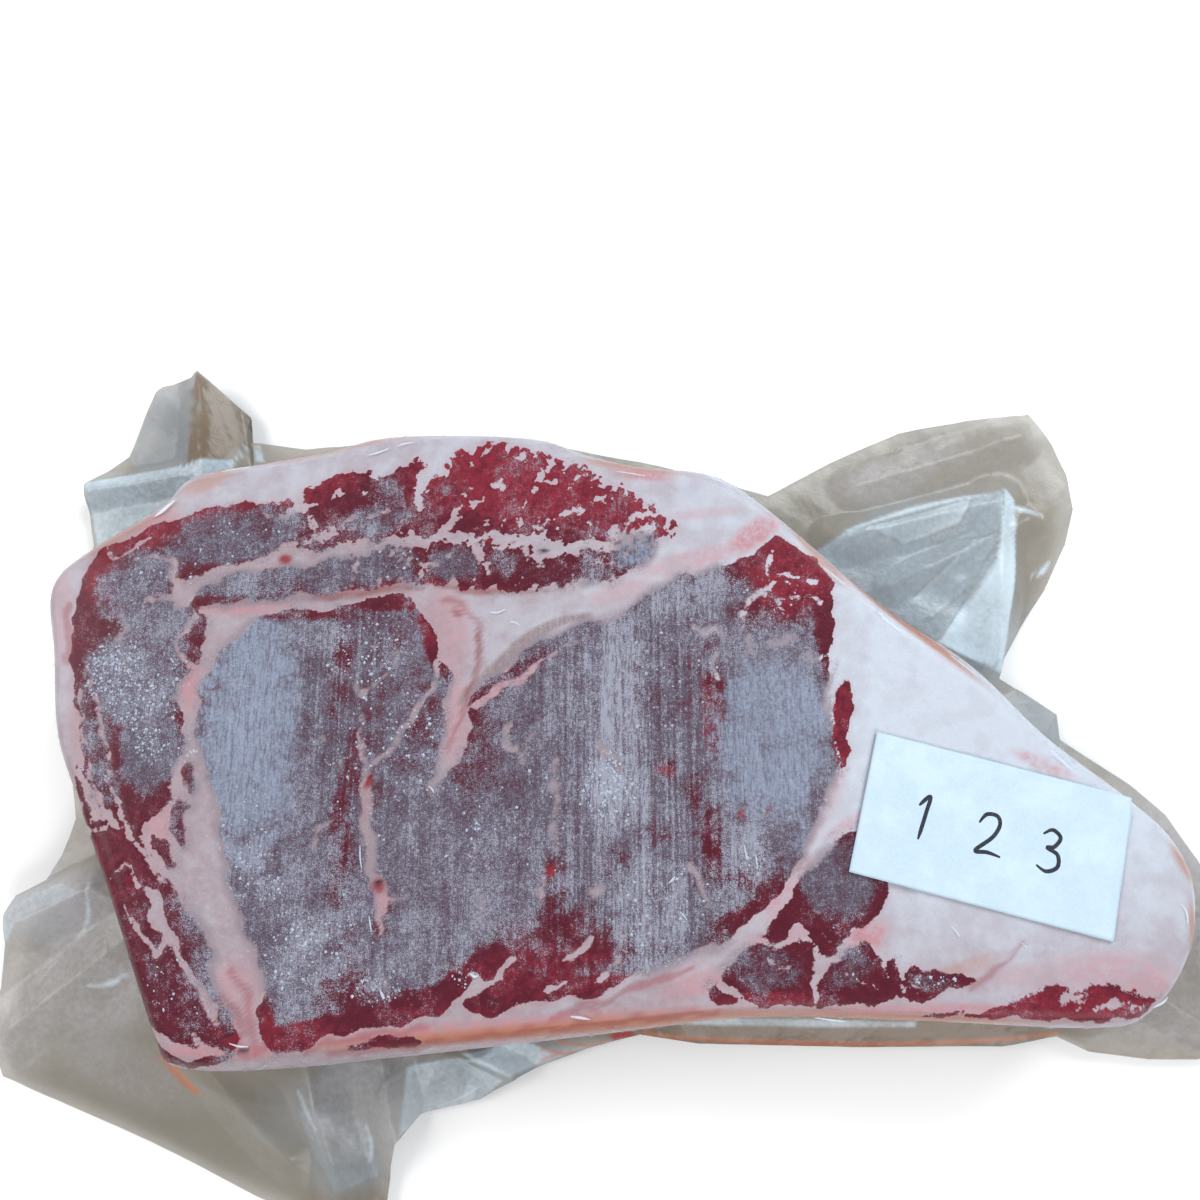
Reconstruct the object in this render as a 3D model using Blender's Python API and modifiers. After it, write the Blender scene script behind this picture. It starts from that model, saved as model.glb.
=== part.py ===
"""A raw beef steak as it is sold frozen: a thick sawn slab in a clear vacuum bag, with a paper label."""

import math

import bmesh
import bpy
from mathutils import Vector
from mathutils.geometry import delaunay_2d_cdt, intersect_point_line

# Every size and place below is in millimetres. The table is at height 0, and the bag's
# underside lies on it. Loops run clockwise, seen from above.
MM = 0.001

# Driving sizes
SLAB_TOP = 45.0
FILM = 0.6
GAP = 0.3
SLAB_BOTTOM = FILM + GAP
LABEL_SIZE = (70.0, 38.0)
LABEL_THICK = 0.3
FLANGE_HEIGHT = 9.0
LOOP_POINTS = 120
CURVE_STEPS = 12

# The slab's outline, seen from above
SLAB_OUTLINE = (
    (-154.5, 46), (-144, 57), (-126, 69), (-118, 77.5), (-98, 81.5), (-80, 85), (-60, 90),
    (-22, 90), (-4, 84.8), (12, 81.2), (28, 79.7), (38, 76), (52, 65), (80, 39), (103, 22),
    (122, 2), (143, -15), (153, -25), (157, -36), (154, -52), (143, -66), (128, -69.7),
    (80, -68), (40, -67), (0, -70.5), (-46, -75), (-86, -79), (-108, -79), (-114.5, -72),
    (-130, -37), (-141, -13), (-148.5, 5), (-152, 27),
)

# The slab's side: height, and how far it stands outside the outline there
SIDE_FOOT = (SLAB_BOTTOM, -4.0)
SIDE_LOW = (4.0, 0.4)
SIDE_FLANGE = (FLANGE_HEIGHT, 2.2)
SIDE_PROFILE = (
    SIDE_FOOT, SIDE_LOW, SIDE_FLANGE,
    (22.0, 3.8), (32.0, 3.4), (39.0, 2.2), (43.0, 0.0), (44.6, -2.0), (SLAB_TOP, -4.5),
)
SWELL = 0.25
SWELL_COUNT = 3

# Seams of fat between the muscles, which lie a little lower than the sawn face
SEAMS = {
    "cap_middle": (
        (-117, 44), (-105, 50), (-86, 54), (-68, 57), (-50, 60), (-32, 60), (-12, 57), (6, 59),
    ),
    "cap_foot": (
        (-108, 39), (-88, 41), (-68, 44), (-48, 46), (-28, 44), (-8, 45), (14, 50), (40, 58),
    ),
    "left_round": (
        (-109, 31), (-111, 16), (-110, 0), (-107, -15), (-102, -31), (-96, -45), (-88, -57),
    ),
    "round_to_eye": ((-45, 37), (-41, 25), (-39, 12), (-42, 0), (-46, -12)),
    "right_of_eye": (
        (67, 42), (70, 28), (69, 10), (63, -8), (54, -26), (43, -40), (30, -51), (12, -57), (-4, -61),
    ),
    "left_band": ((-136, 6), (-129, -12), (-119, -27), (-112, -39), (-105, -53), (-97, -66)),
    "lower_right": ((38, -49), (50, -46), (58, -53), (68, -48), (75, -55)),
}
SEAM_STEP = 7.0
SEAM_WIDTH = 2.2
GROOVE_DEPTH = 0.9
FILL_STEP = 15.0
FILL_CLEAR = 5.0
INSIDE_ONLY = 1
MERGE = 0.001

# The bag's outer edge, from the small fold at the left: x, y and height
BAG_EDGE = (
    (-165, 69, 4), (-170, 89.6, 3), (-157, 99.8, 3), (-153, 111.8, 4), (-149, 123.5, 4),
    (-136.7, 126, 5), (-134.9, 128.5, 5), (-117, 113.3, 4), (-118, 104, 5), (-97, 101.3, 6),
    (-60, 104, 7), (-20, 103, 7), (20, 95, 7), (55, 85, 6), (76.4, 97.3, 4), (100.3, 108.3, 3),
    (124, 113, 2), (144.4, 115, 3), (150.7, 103.7, 4), (155, 84, 5), (151.6, 69, 4),
    (143.6, 54, 3), (134.3, 41, 3), (125, 24.8, 5), (132.5, 21, 5), (142.9, 13.7, 5),
    (143.7, 6, 4), (164, -8, 4), (182.4, -30, 3), (190, -44, 2), (191, -64, 2), (187, -84, 3),
    (160.7, -87, 3), (143.4, -84.8, 3), (134, -80.5, 4), (117, -82.8, 6), (73, -83, 6),
    (29, -82.3, 5), (11.7, -80, 4), (-23.3, -91, 3), (-34.8, -97.7, 3), (-52, -101.7, 3),
    (-59.5, -115, 4), (-62, -136, 2), (-76, -132, 2), (-98, -123.7, 2), (-129.3, -109.6, 2),
    (-156.4, -99, 2), (-175, -91.8, 2), (-181, -80, 2), (-178, -46.4, 5), (-175.3, -40.6, 6),
    (-166.7, -36, 6), (-163, -29, 6), (-159.5, -18, 7), (-164, 5, 7), (-168, 34, 7),
)
BAG_CENTRE = (0.0, 0.0)
BAG_RINGS = (0.16, 0.32, 0.5, 0.68, 0.85, 1.0)
FLOOR_RING = 0.55
LIP_CLEARANCE = GAP + 3 * FILM
DROOP = 1.4
LEAST_HEIGHT = FILM + 0.3

# Creases in the bag's loose margins: two ends, height of the ridge and half its width
FOLDS = (
    ((75, 69), (128, 82), 5.0, 9.0),
    ((130, 84), (124, 30), 5.0, 10.0),
    ((92, 54), (138, 76), 4.0, 6.0),
    ((84, 88), (140, 106), 3.0, 9.0),
    ((-133, 126), (-128, 88), 5.0, 10.0),
    ((-167, 87), (-130, 92), 4.0, 7.0),
    ((-150, -38), (-172, -48), 5.0, 9.0),
    ((-138, -52), (-172, -78), 4.0, 10.0),
    ((-118, -82), (-88, -112), 5.0, 10.0),
    ((-84, -86), (-72, -126), 6.0, 9.0),
    ((-62, -86), (-57, -112), 6.0, 8.0),
    ((-40, -82), (-24, -92), 3.5, 6.0),
    ((158, -66), (184, -80), 4.0, 9.0),
    ((165, -30), (186, -56), 4.0, 9.0),
)

# The label's place on the sawn face, and how its far corner turns down over the edge
LABEL_CENTRE = (104.3, -22.3)
LABEL_TURN = -14.6
LABEL_GRID = (14, 8)
CORNER_START = (29.0, 13.0)
CORNER_DROP = 1.2

MATERIALS = {
    "steak": ((0.42, 0.10, 0.13), 0.45),
    "bag": ((0.62, 0.60, 0.57), 0.18),
    "label": ((0.74, 0.82, 0.86), 0.7),
}


def clear_scene():
    for thing in list(bpy.data.objects):
        bpy.data.objects.remove(thing, do_unlink=True)


def smooth_span(before, start, end, after, share):
    """A point on the Catmull-Rom curve between start and end."""
    square = share * share
    cube = square * share
    return 0.5 * (
        2 * start
        + (end - before) * share
        + (2 * before - 5 * start + 4 * end - after) * square
        + (3 * start - before - 3 * end + after) * cube
    )


def smooth_points(points, closed):
    """A close row of points on one smooth curve through the given ones."""
    points = [Vector(point) for point in points]
    count = len(points)
    row = []
    for i in range(count if closed else count - 1):
        if closed:
            four = [points[(i + k) % count] for k in (-1, 0, 1, 2)]
        else:
            four = [points[min(max(i + k, 0), count - 1)] for k in (-1, 0, 1, 2)]
        row += [smooth_span(*four, step / CURVE_STEPS) for step in range(CURVE_STEPS)]
    row.append(points[0] if closed else points[-1])
    return row


def even_points(row, count):
    """The row cut into count equal lengths, as the count points that start them."""
    lengths = [(b - a).length for a, b in zip(row, row[1:])]
    step = sum(lengths) / count
    found = []
    index, passed = 0, 0.0
    for i in range(count):
        while passed + lengths[index] < i * step:
            passed += lengths[index]
            index += 1
        share = (i * step - passed) / lengths[index]
        found.append(row[index].lerp(row[index + 1], share))
    return found


def outward(loop):
    """Unit vectors that point out of a clockwise loop at each of its points."""
    count = len(loop)
    found = []
    for i in range(count):
        along = loop[(i + 1) % count] - loop[i - 1]
        found.append(Vector((-along.y, along.x)).normalized())
    return found


def swell(i):
    """How much the side stands out at loop point i, as a share of the profile."""
    return 1 + SWELL * math.sin(2 * math.pi * SWELL_COUNT * i / LOOP_POINTS)


def ring_at(loop, height, offset, clearance=0.0):
    """The slab's side at one height of its profile, as points in space."""
    ways = outward(loop)
    ring = []
    for i, point in enumerate(loop):
        distance = offset * swell(i) if offset > 0 else offset
        place = point + ways[i] * (distance + clearance)
        ring.append(Vector((place.x, place.y, height)))
    return ring


def bridge(mesh, lower, upper):
    """A band of faces between two rings of the same count."""
    count = len(lower)
    for i in range(count):
        after = (i + 1) % count
        mesh.faces.new((lower[i], lower[after], upper[after], upper[i]))


def add_ring(mesh, ring):
    return [mesh.verts.new(point * MM) for point in ring]


def new_object(name, mesh, collection):
    """A named object from an edit mesh, smooth, with its own material."""
    bmesh.ops.recalc_face_normals(mesh, faces=mesh.faces)
    data = bpy.data.meshes.new(name)
    mesh.to_mesh(data)
    mesh.free()
    data.shade_smooth()
    colour, roughness = MATERIALS[name]
    material = bpy.data.materials.new(name)
    material.use_nodes = True
    shader = material.node_tree.nodes["Principled BSDF"]
    shader.inputs["Base Color"].default_value = (*colour, 1.0)
    shader.inputs["Roughness"].default_value = roughness
    data.materials.append(material)
    thing = bpy.data.objects.new(name, data)
    collection.objects.link(thing)
    return thing


def distance_to_line(point, line):
    """Shortest distance from a flat point to a row of points."""
    nearest = math.inf
    for start, end in zip(line, line[1:]):
        foot, share = intersect_point_line(point, start, end)
        foot = foot if 0 < share < 1 else (start if share <= 0 else end)
        nearest = min(nearest, (point - foot).length)
    return nearest


def inside(point, loop):
    """Whether a flat point is inside a closed loop, by counting crossings to its right."""
    crossings = 0
    for start, end in zip(loop, loop[1:] + loop[:1]):
        if (start.y > point.y) == (end.y > point.y):
            continue
        share = (point.y - start.y) / (end.y - start.y)
        crossings += start.x + share * (end.x - start.x) > point.x
    return crossings % 2 == 1


def seam_lines():
    """Each seam as points at about even spacing."""
    lines = []
    for seam in SEAMS.values():
        row = smooth_points(seam, closed=False)
        length = sum((b - a).length for a, b in zip(row, row[1:]))
        lines.append(even_points(row, round(length / SEAM_STEP)) + [row[-1]])
    return lines


def side_row(line, offset):
    """A seam's points moved sideways."""
    last = len(line) - 1
    row = []
    for i, point in enumerate(line):
        along = (line[min(i + 1, last)] - line[max(i - 1, 0)]).normalized()
        row.append(point + Vector((-along.y, along.x)) * offset)
    return row


def fill_points(rim, taken):
    """Points on a grid inside the rim, clear of those taken."""
    found = []
    xs = [point.x for point in rim]
    ys = [point.y for point in rim]
    columns = int((max(xs) - min(xs)) / FILL_STEP)
    rows = int((max(ys) - min(ys)) / FILL_STEP)
    for column in range(columns + 1):
        for row in range(rows + 1):
            point = Vector((min(xs) + column * FILL_STEP, min(ys) + row * FILL_STEP))
            if not inside(point, rim):
                continue
            if min((point - other).length for other in taken) > FILL_CLEAR:
                found.append(point)
    return found


def sawn_face(mesh, rim_verts):
    """Closes the slab's top with triangles that dip along the seams."""
    rim = [Vector((vert.co.x, vert.co.y)) / MM for vert in rim_verts]
    lines = seam_lines()
    points = list(rim)
    edges = []
    for line in lines:
        for offset in (-SEAM_WIDTH, 0.0, SEAM_WIDTH):
            first = len(points)
            points += side_row(line, offset)
            edges += [(i, i + 1) for i in range(first, len(points) - 1)]
    points += fill_points(rim, points)
    outline = list(range(len(rim)))
    found = delaunay_2d_cdt(points, edges, [outline], INSIDE_ONLY, MERGE)
    flat, _, triangles, sources = found[:4]
    verts = []
    for point, source in zip(flat, sources):
        known = [i for i in source if i < len(rim)]
        if known:
            verts.append(rim_verts[known[0]])
            continue
        near = min(distance_to_line(point, line) for line in lines)
        groove = GROOVE_DEPTH * max(0.0, 1 - near / SEAM_WIDTH)
        verts.append(mesh.verts.new(Vector((point.x, point.y, SLAB_TOP - groove)) * MM))
    for triangle in triangles:
        mesh.faces.new([verts[i] for i in triangle])


def make_steak(loop, collection):
    """The slab: a lofted side, a flat underside and a sawn face with shallow seams."""
    mesh = bmesh.new()
    rings = [add_ring(mesh, ring_at(loop, *level)) for level in SIDE_PROFILE]
    for lower, upper in zip(rings, rings[1:]):
        bridge(mesh, lower, upper)
    underside = mesh.faces.new(rings[0])
    bmesh.ops.triangulate(mesh, faces=[underside])
    sawn_face(mesh, rings[-1])
    return new_object("steak", mesh, collection)


def edge_stops(lip):
    """For each corner of the bag's edge, the number of the lip point that it is drawn out from."""
    count = len(lip)
    stops = []
    for corner in BAG_EDGE:
        flat = Vector(corner[:2])
        nearest = min(range(count), key=lambda i: (lip[i].xy - flat).length)
        if stops and nearest < stops[-1] - count / 2:
            nearest += count
        stops.append(max(nearest, stops[-1] + 1) if stops else nearest)
    return stops


def margin_edge(lip):
    """The bag's outer edge, with one point for each point of the lip."""
    count = len(lip)
    stops = edge_stops(lip)
    corners = [Vector(corner) for corner in BAG_EDGE]
    edge = [None] * count
    spans = zip(stops, stops[1:] + [stops[0] + count], corners, corners[1:] + corners[:1])
    for first, last, start, end in spans:
        for i in range(first, last):
            edge[i % count] = start.lerp(end, (i - first) / (last - first))
    return edge


def fold_height(point):
    """How far the creases lift the film at a flat point."""
    lift = 0.0
    for start, end, height, half_width in FOLDS:
        away = distance_to_line(point, [Vector(start), Vector(end)])
        lift = max(lift, height * max(0.0, 1 - away / half_width))
    return lift


def margin_point(start, edge, share):
    """A point of the loose margin, share of the way from the flange to the outer edge."""
    flat = start.xy.lerp(edge.xy, share)
    slope = edge.z + (start.z - edge.z) * (1 - share) ** DROOP
    settle = min(1.0, share / BAG_RINGS[1])
    height = slope + settle * fold_height(flat)
    return Vector((flat.x, flat.y, max(height, LEAST_HEIGHT)))


def make_bag(loop, collection):
    """The bag: film under the slab and up its side to a flange, then loose margins."""
    mesh = bmesh.new()
    foot = ring_at(loop, FILM, SIDE_FOOT[1], GAP)
    centre = Vector((*BAG_CENTRE, FILM))
    floor = [centre.lerp(point, FLOOR_RING) for point in foot]
    low = ring_at(loop, *SIDE_LOW, GAP)
    flange = ring_at(loop, *SIDE_FLANGE, GAP)
    lip = ring_at(loop, FLANGE_HEIGHT + FILM, SIDE_FLANGE[1], LIP_CLEARANCE)
    rings = [floor, foot, low, flange, lip]
    edge = margin_edge(lip)
    for share in BAG_RINGS:
        rings.append([margin_point(a, b, share) for a, b in zip(lip, edge)])
    verts = [add_ring(mesh, ring) for ring in rings]
    for inner, outer in zip(verts, verts[1:]):
        bridge(mesh, inner, outer)
    middle = mesh.faces.new(verts[0])
    bmesh.ops.triangulate(mesh, faces=[middle])
    bag = new_object("bag", mesh, collection)
    face_up(bag)
    solidify = bag.modifiers.new("film", "SOLIDIFY")
    solidify.thickness = FILM * MM
    solidify.offset = -1
    return bag


def face_up(thing):
    """Turns an open sheet's faces over where its middle looks down."""
    mesh = bmesh.new()
    mesh.from_mesh(thing.data)
    mesh.normal_update()
    middle = min(mesh.faces, key=lambda face: face.calc_center_median().xy.length)
    if middle.normal.z < 0:
        bmesh.ops.reverse_faces(mesh, faces=mesh.faces)
    mesh.to_mesh(thing.data)
    mesh.free()


def make_label(collection):
    """The paper label: a thin sheet whose far corner turns down over the slab's edge."""
    mesh = bmesh.new()
    columns, rows = LABEL_GRID
    bmesh.ops.create_grid(mesh, x_segments=columns, y_segments=rows, size=0.5)
    width, depth = LABEL_SIZE
    for vert in mesh.verts:
        x = vert.co.x * width
        y = vert.co.y * depth
        past_x = max(0.0, x - CORNER_START[0]) / (width / 2 - CORNER_START[0])
        past_y = max(0.0, y - CORNER_START[1]) / (depth / 2 - CORNER_START[1])
        vert.co = Vector((x, y, -CORNER_DROP * past_x * past_y)) * MM
    label = new_object("label", mesh, collection)
    face_up(label)
    label.location = Vector((*LABEL_CENTRE, SLAB_TOP + GAP + LABEL_THICK)) * MM
    label.rotation_euler.z = math.radians(LABEL_TURN)
    solidify = label.modifiers.new("paper", "SOLIDIFY")
    solidify.thickness = LABEL_THICK * MM
    solidify.offset = -1
    return label


def stand_on_centre(things, holder):
    """Hangs the pieces on an empty, placed so that the whole's box stands centred on the origin."""
    for thing in things:
        thing.parent = holder
    bpy.context.view_layer.update()
    graph = bpy.context.evaluated_depsgraph_get()
    corners = []
    for thing in things:
        solid = thing.evaluated_get(graph)
        corners += [thing.matrix_world @ vert.co for vert in solid.data.vertices]
    low = Vector([min(corner[axis] for corner in corners) for axis in range(3)])
    high = Vector([max(corner[axis] for corner in corners) for axis in range(3)])
    holder.location = (-(low.x + high.x) / 2, -(low.y + high.y) / 2, -low.z)


def main():
    clear_scene()
    collection = bpy.data.collections.new("packed_beef_steak")
    bpy.context.scene.collection.children.link(collection)
    holder = bpy.data.objects.new("steak_pack", None)
    collection.objects.link(holder)
    loop = even_points(smooth_points(SLAB_OUTLINE, closed=True), LOOP_POINTS)
    things = [
        make_steak(loop, collection),
        make_bag(loop, collection),
        make_label(collection),
    ]
    stand_on_centre(things, holder)


main()
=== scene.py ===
"""The looks of a vacuum-packed raw beef steak: sawn meat with frost, a clear bag and a paper slip."""

import math

import bpy
import numpy as np
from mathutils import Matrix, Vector


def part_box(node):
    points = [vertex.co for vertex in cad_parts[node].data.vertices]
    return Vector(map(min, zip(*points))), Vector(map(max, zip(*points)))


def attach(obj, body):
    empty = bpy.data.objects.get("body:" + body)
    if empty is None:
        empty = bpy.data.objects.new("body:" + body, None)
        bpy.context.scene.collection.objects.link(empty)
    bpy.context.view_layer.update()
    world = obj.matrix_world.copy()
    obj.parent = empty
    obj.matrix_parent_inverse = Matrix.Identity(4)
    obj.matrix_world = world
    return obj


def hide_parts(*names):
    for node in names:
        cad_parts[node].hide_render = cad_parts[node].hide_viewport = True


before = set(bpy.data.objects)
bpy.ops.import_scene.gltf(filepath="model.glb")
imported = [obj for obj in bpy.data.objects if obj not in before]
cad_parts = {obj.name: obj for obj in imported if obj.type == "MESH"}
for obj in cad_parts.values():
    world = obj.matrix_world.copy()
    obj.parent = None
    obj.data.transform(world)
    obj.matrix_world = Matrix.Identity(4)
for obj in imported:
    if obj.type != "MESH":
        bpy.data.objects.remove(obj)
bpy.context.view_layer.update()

# Places below are in millimetres, drawn with the sawn face's own zero point, and the table at
# height 0. Loops run clockwise, seen from above. place() moves them into the model's frame.
MM = 0.001
SLAB_TOP = 45.0
SLAB_BOTTOM = 0.9
FLANGE_HEIGHT = 9.0
LABEL_CENTRE = (104.3, -22.3)
LABEL_TURN = math.radians(-14.6)
LABEL_SIZE = (70.0, 38.0)
SEED = 5715

# The slab's outline and side, as the solid has them
SLAB_OUTLINE = (
    (-154.5, 46), (-144, 57), (-126, 69), (-118, 77.5), (-98, 81.5), (-80, 85), (-60, 90), (-22, 90),
    (-4, 84.8), (12, 81.2), (28, 79.7), (38, 76), (52, 65), (80, 39), (103, 22), (122, 2), (143, -15),
    (153, -25), (157, -36), (154, -52), (143, -66), (128, -69.7), (80, -68), (40, -67), (0, -70.5),
    (-46, -75), (-86, -79), (-108, -79), (-114.5, -72), (-130, -37), (-141, -13), (-148.5, 5), (-152, 27),
)
SIDE_PROFILE = (
    (SLAB_BOTTOM, -4.0), (4.0, 0.4), (FLANGE_HEIGHT, 2.2), (22.0, 3.8), (32.0, 3.4), (39.0, 2.2),
    (43.0, 0.0), (44.6, -2.0), (SLAB_TOP, -4.5),
)
SWELL = 0.25
SWELL_COUNT = 3
RIM_POINTS = 820
FACE_ROWS = 172
RELAX = 5
UNDER_ROWS = 30

# The muscles that the saw cut through, as outlines
MUSCLES = {
    "cap": (
        (-142.5, 56), (-137, 58.5), (-131, 61.5), (-125, 64), (-119, 66), (-112, 68.5), (-105, 70),
        (-98, 69.7), (-91, 71), (-88, 69), (-85, 73.5), (-80, 76.5), (-73, 79), (-67, 80.2), (-63.5, 77),
        (-59, 79.5), (-54, 82.8), (-51, 83), (-52.5, 78), (-54, 71), (-52, 68.5), (-50, 73), (-48, 77),
        (-44.5, 79), (-43, 82.5), (-40, 85.5), (-37, 88), (-33, 88.6), (-26, 87.8), (-20, 86.5),
        (-14, 83.8), (-6, 81.5), (-1, 78), (5, 75), (11, 71.5), (17, 67.5), (22.3, 64.5), (21, 61.5),
        (15.5, 59), (13.5, 54), (9, 50), (3, 47.8), (-6, 46.8), (-14, 45.3), (-24, 44.3), (-36, 44.8),
        (-47, 46), (-56, 46.3), (-64, 45.3), (-74, 43.5), (-84, 43.2), (-94, 41.5), (-104, 41),
        (-112, 39.3), (-116, 37), (-122, 36), (-132, 36), (-145, 40), (-145.5, 46), (-143.5, 52),
    ),
    "left_band": (
        (-145.5, 46), (-132, 45), (-120, 43), (-113, 39), (-110, 35), (-110, 29), (-111.5, 23),
        (-116, 18), (-115.5, 12), (-113.5, 6), (-113, 0), (-115.5, -5), (-115, -12), (-118, -16.5),
        (-122, -19), (-121.5, -23.5), (-118.5, -29), (-114.5, -33.5), (-111, -38), (-107, -42.5),
        (-103.5, -47), (-101.5, -52), (-101, -57), (-99, -62), (-95, -67), (-92.5, -72), (-94, -77),
        (-100, -80.5), (-111.5, -79.5), (-117.5, -72), (-120.5, -65), (-124, -57.5), (-127.5, -49.5),
        (-131, -41.5), (-134, -34), (-136.3, -26.5), (-136.8, -21), (-133.5, -17), (-136.5, -11),
        (-139.5, -5), (-140.7, 1), (-142.5, 9), (-144.5, 17), (-146, 24), (-147, 30), (-146.5, 36),
    ),
    "round": (
        (-106, 26), (-102, 29.5), (-97.5, 33.5), (-93.5, 37.5), (-87, 38.7), (-79, 38.6), (-71, 39.7),
        (-65, 42), (-59, 43.2), (-54, 42.2), (-50, 39), (-47.5, 35), (-45.8, 31), (-44.8, 26),
        (-42, 22.5), (-41.3, 19), (-42.3, 14), (-42.7, 8), (-43.2, 0), (-44.8, -6), (-45.8, -11),
        (-40, -25), (-38, -45), (-38, -64), (-45, -68.3), (-55, -70.3), (-63, -71.3), (-70, -73),
        (-76, -75.5), (-84, -76.5), (-87, -72), (-87.5, -66), (-86.5, -61.5), (-87.5, -55.5),
        (-90.5, -50), (-94, -43), (-97, -36), (-99.3, -29), (-100.8, -22), (-102.5, -14.5), (-104.5, -8),
        (-107.5, -2), (-109.5, 4), (-110, 11), (-109, 18),
    ),
    "eye": (
        (-37, 11.3), (-34, 16), (-29, 20), (-25, 22.7), (-20.5, 27.5), (-15, 30.8), (-9, 33), (-4, 35.7),
        (0, 34.7), (5, 37), (11, 41), (16, 44.8), (22, 48), (30, 49.8), (37, 51.8), (43, 55.3), (47, 59),
        (50, 60.2), (54, 58), (60, 53.7), (64, 49.5), (65.3, 46), (64.7, 43.7), (65.8, 40), (64.8, 34.5),
        (64.2, 27), (62.8, 21), (61.5, 15), (61.5, 9), (63.5, 4), (64.2, 0), (63.8, -5), (61, -11),
        (58, -17), (55.5, -23), (52.5, -29), (48.5, -35.5), (43.5, -40.5), (37, -46.7), (31, -49.7),
        (26, -51.6), (22, -52.2), (19, -54.2), (13, -56.8), (7, -58.5), (1, -61.5), (-3, -63.7),
        (-9, -63.2), (-18, -64.3), (-23, -65.7), (-27, -67.7), (-32, -67.4), (-34.5, -65.6), (-36, -64.5),
        (-40, -60), (-46, -40), (-46, -20), (-44.5, -13), (-42, -8), (-39, -3.5), (-36.5, 1), (-34.5, 6),
    ),
    "strip": (
        (69, 18.5), (69.3, 14), (68.4, 9), (67.6, 3), (67, -2), (65.8, -5), (64.6, -5.3), (64.8, -2),
        (64, 3), (63.5, 9), (64.6, 13.5), (66.8, 17.8),
    ),
    "lower_upper": (
        (67.8, -21.8), (63, -24), (58.5, -28.5), (54.5, -33), (50.5, -37.5), (48.5, -41.5), (45, -45),
        (41.8, -48.3), (44.5, -49.3), (49.5, -47.5), (52, -45.3), (54.8, -47), (56, -50.5), (57.5, -53),
        (60.5, -52.3), (63.3, -49.3), (66.5, -47), (70.5, -44.2), (74, -41.5), (75.3, -37.5), (76, -30),
        (73, -22),
    ),
    "lower_left": (
        (41, -50.2), (36.5, -52), (33, -55.3), (32, -58.3), (33.3, -60.3), (36, -62.5), (39, -64.7),
        (47, -65.2), (54, -65.2), (54.6, -61), (55.2, -56), (54.6, -51), (51, -49.3), (46, -50.8),
    ),
    "lower_right": (
        (55.6, -65), (57, -60), (58.3, -57.3), (61, -54), (64.5, -51.3), (68, -49.8), (71, -51.7),
        (73.5, -55), (74.5, -58.5), (76.5, -60.2), (77.2, -63.2), (71, -64.5), (63, -65.2),
    ),
    "lower_tooth": ((74.2, -55.8), (76.3, -53.3), (77.4, -56), (78, -60.3), (76.3, -60.6), (75, -58.3)),
    "lower_end": (
        (79.3, -58.5), (81.5, -55.4), (84, -57), (89, -56.2), (93, -57.8), (97, -58.6), (94, -60.3),
        (90, -61.6), (86, -62.6), (82, -64.3), (78.5, -63.5),
    ),
    "red_patch": (
        (27.3, -62.3), (30.2, -59.6), (32, -61.8), (34.5, -63.5), (35.5, -64.9), (31, -65.2), (29, -64),
    ),
    "red_strip": (
        (84, -67.2), (95, -67), (104, -65.3), (110, -62.6), (114.5, -60.3), (119, -61), (122.5, -62.3),
        (125.5, -60.5), (128.5, -59.6), (133, -61), (138, -61.8), (143, -64), (139, -67.8), (132, -69),
        (122, -69), (108, -68.3), (94, -68.2), (84, -68),
    ),
    "side_line": (
        (-142, -3), (-140, -8.5), (-137.5, -14.5), (-135.5, -19), (-137.3, -20), (-139.3, -16),
        (-141, -10),
    ),
    "bottom_line": ((-58, -73.2), (-51, -72.2), (-45.5, -73.5), (-50, -75.3), (-60, -75.8), (-66, -75.2)),
    "island_upper": ((-112, -3.8), (-109.5, -5), (-109.3, -9), (-110.5, -11), (-112.3, -8)),
    "island_middle": (
        (-113.8, -13.2), (-110.3, -14.5), (-111, -18), (-110.5, -23.5), (-111.5, -26), (-113.5, -22.5),
        (-114.8, -17),
    ),
    "island_lower": (
        (-119, -22.7), (-116.5, -23.5), (-114.5, -27), (-112, -30), (-112.2, -31.5), (-114.5, -30.5),
        (-117.5, -27),
    ),
}

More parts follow.
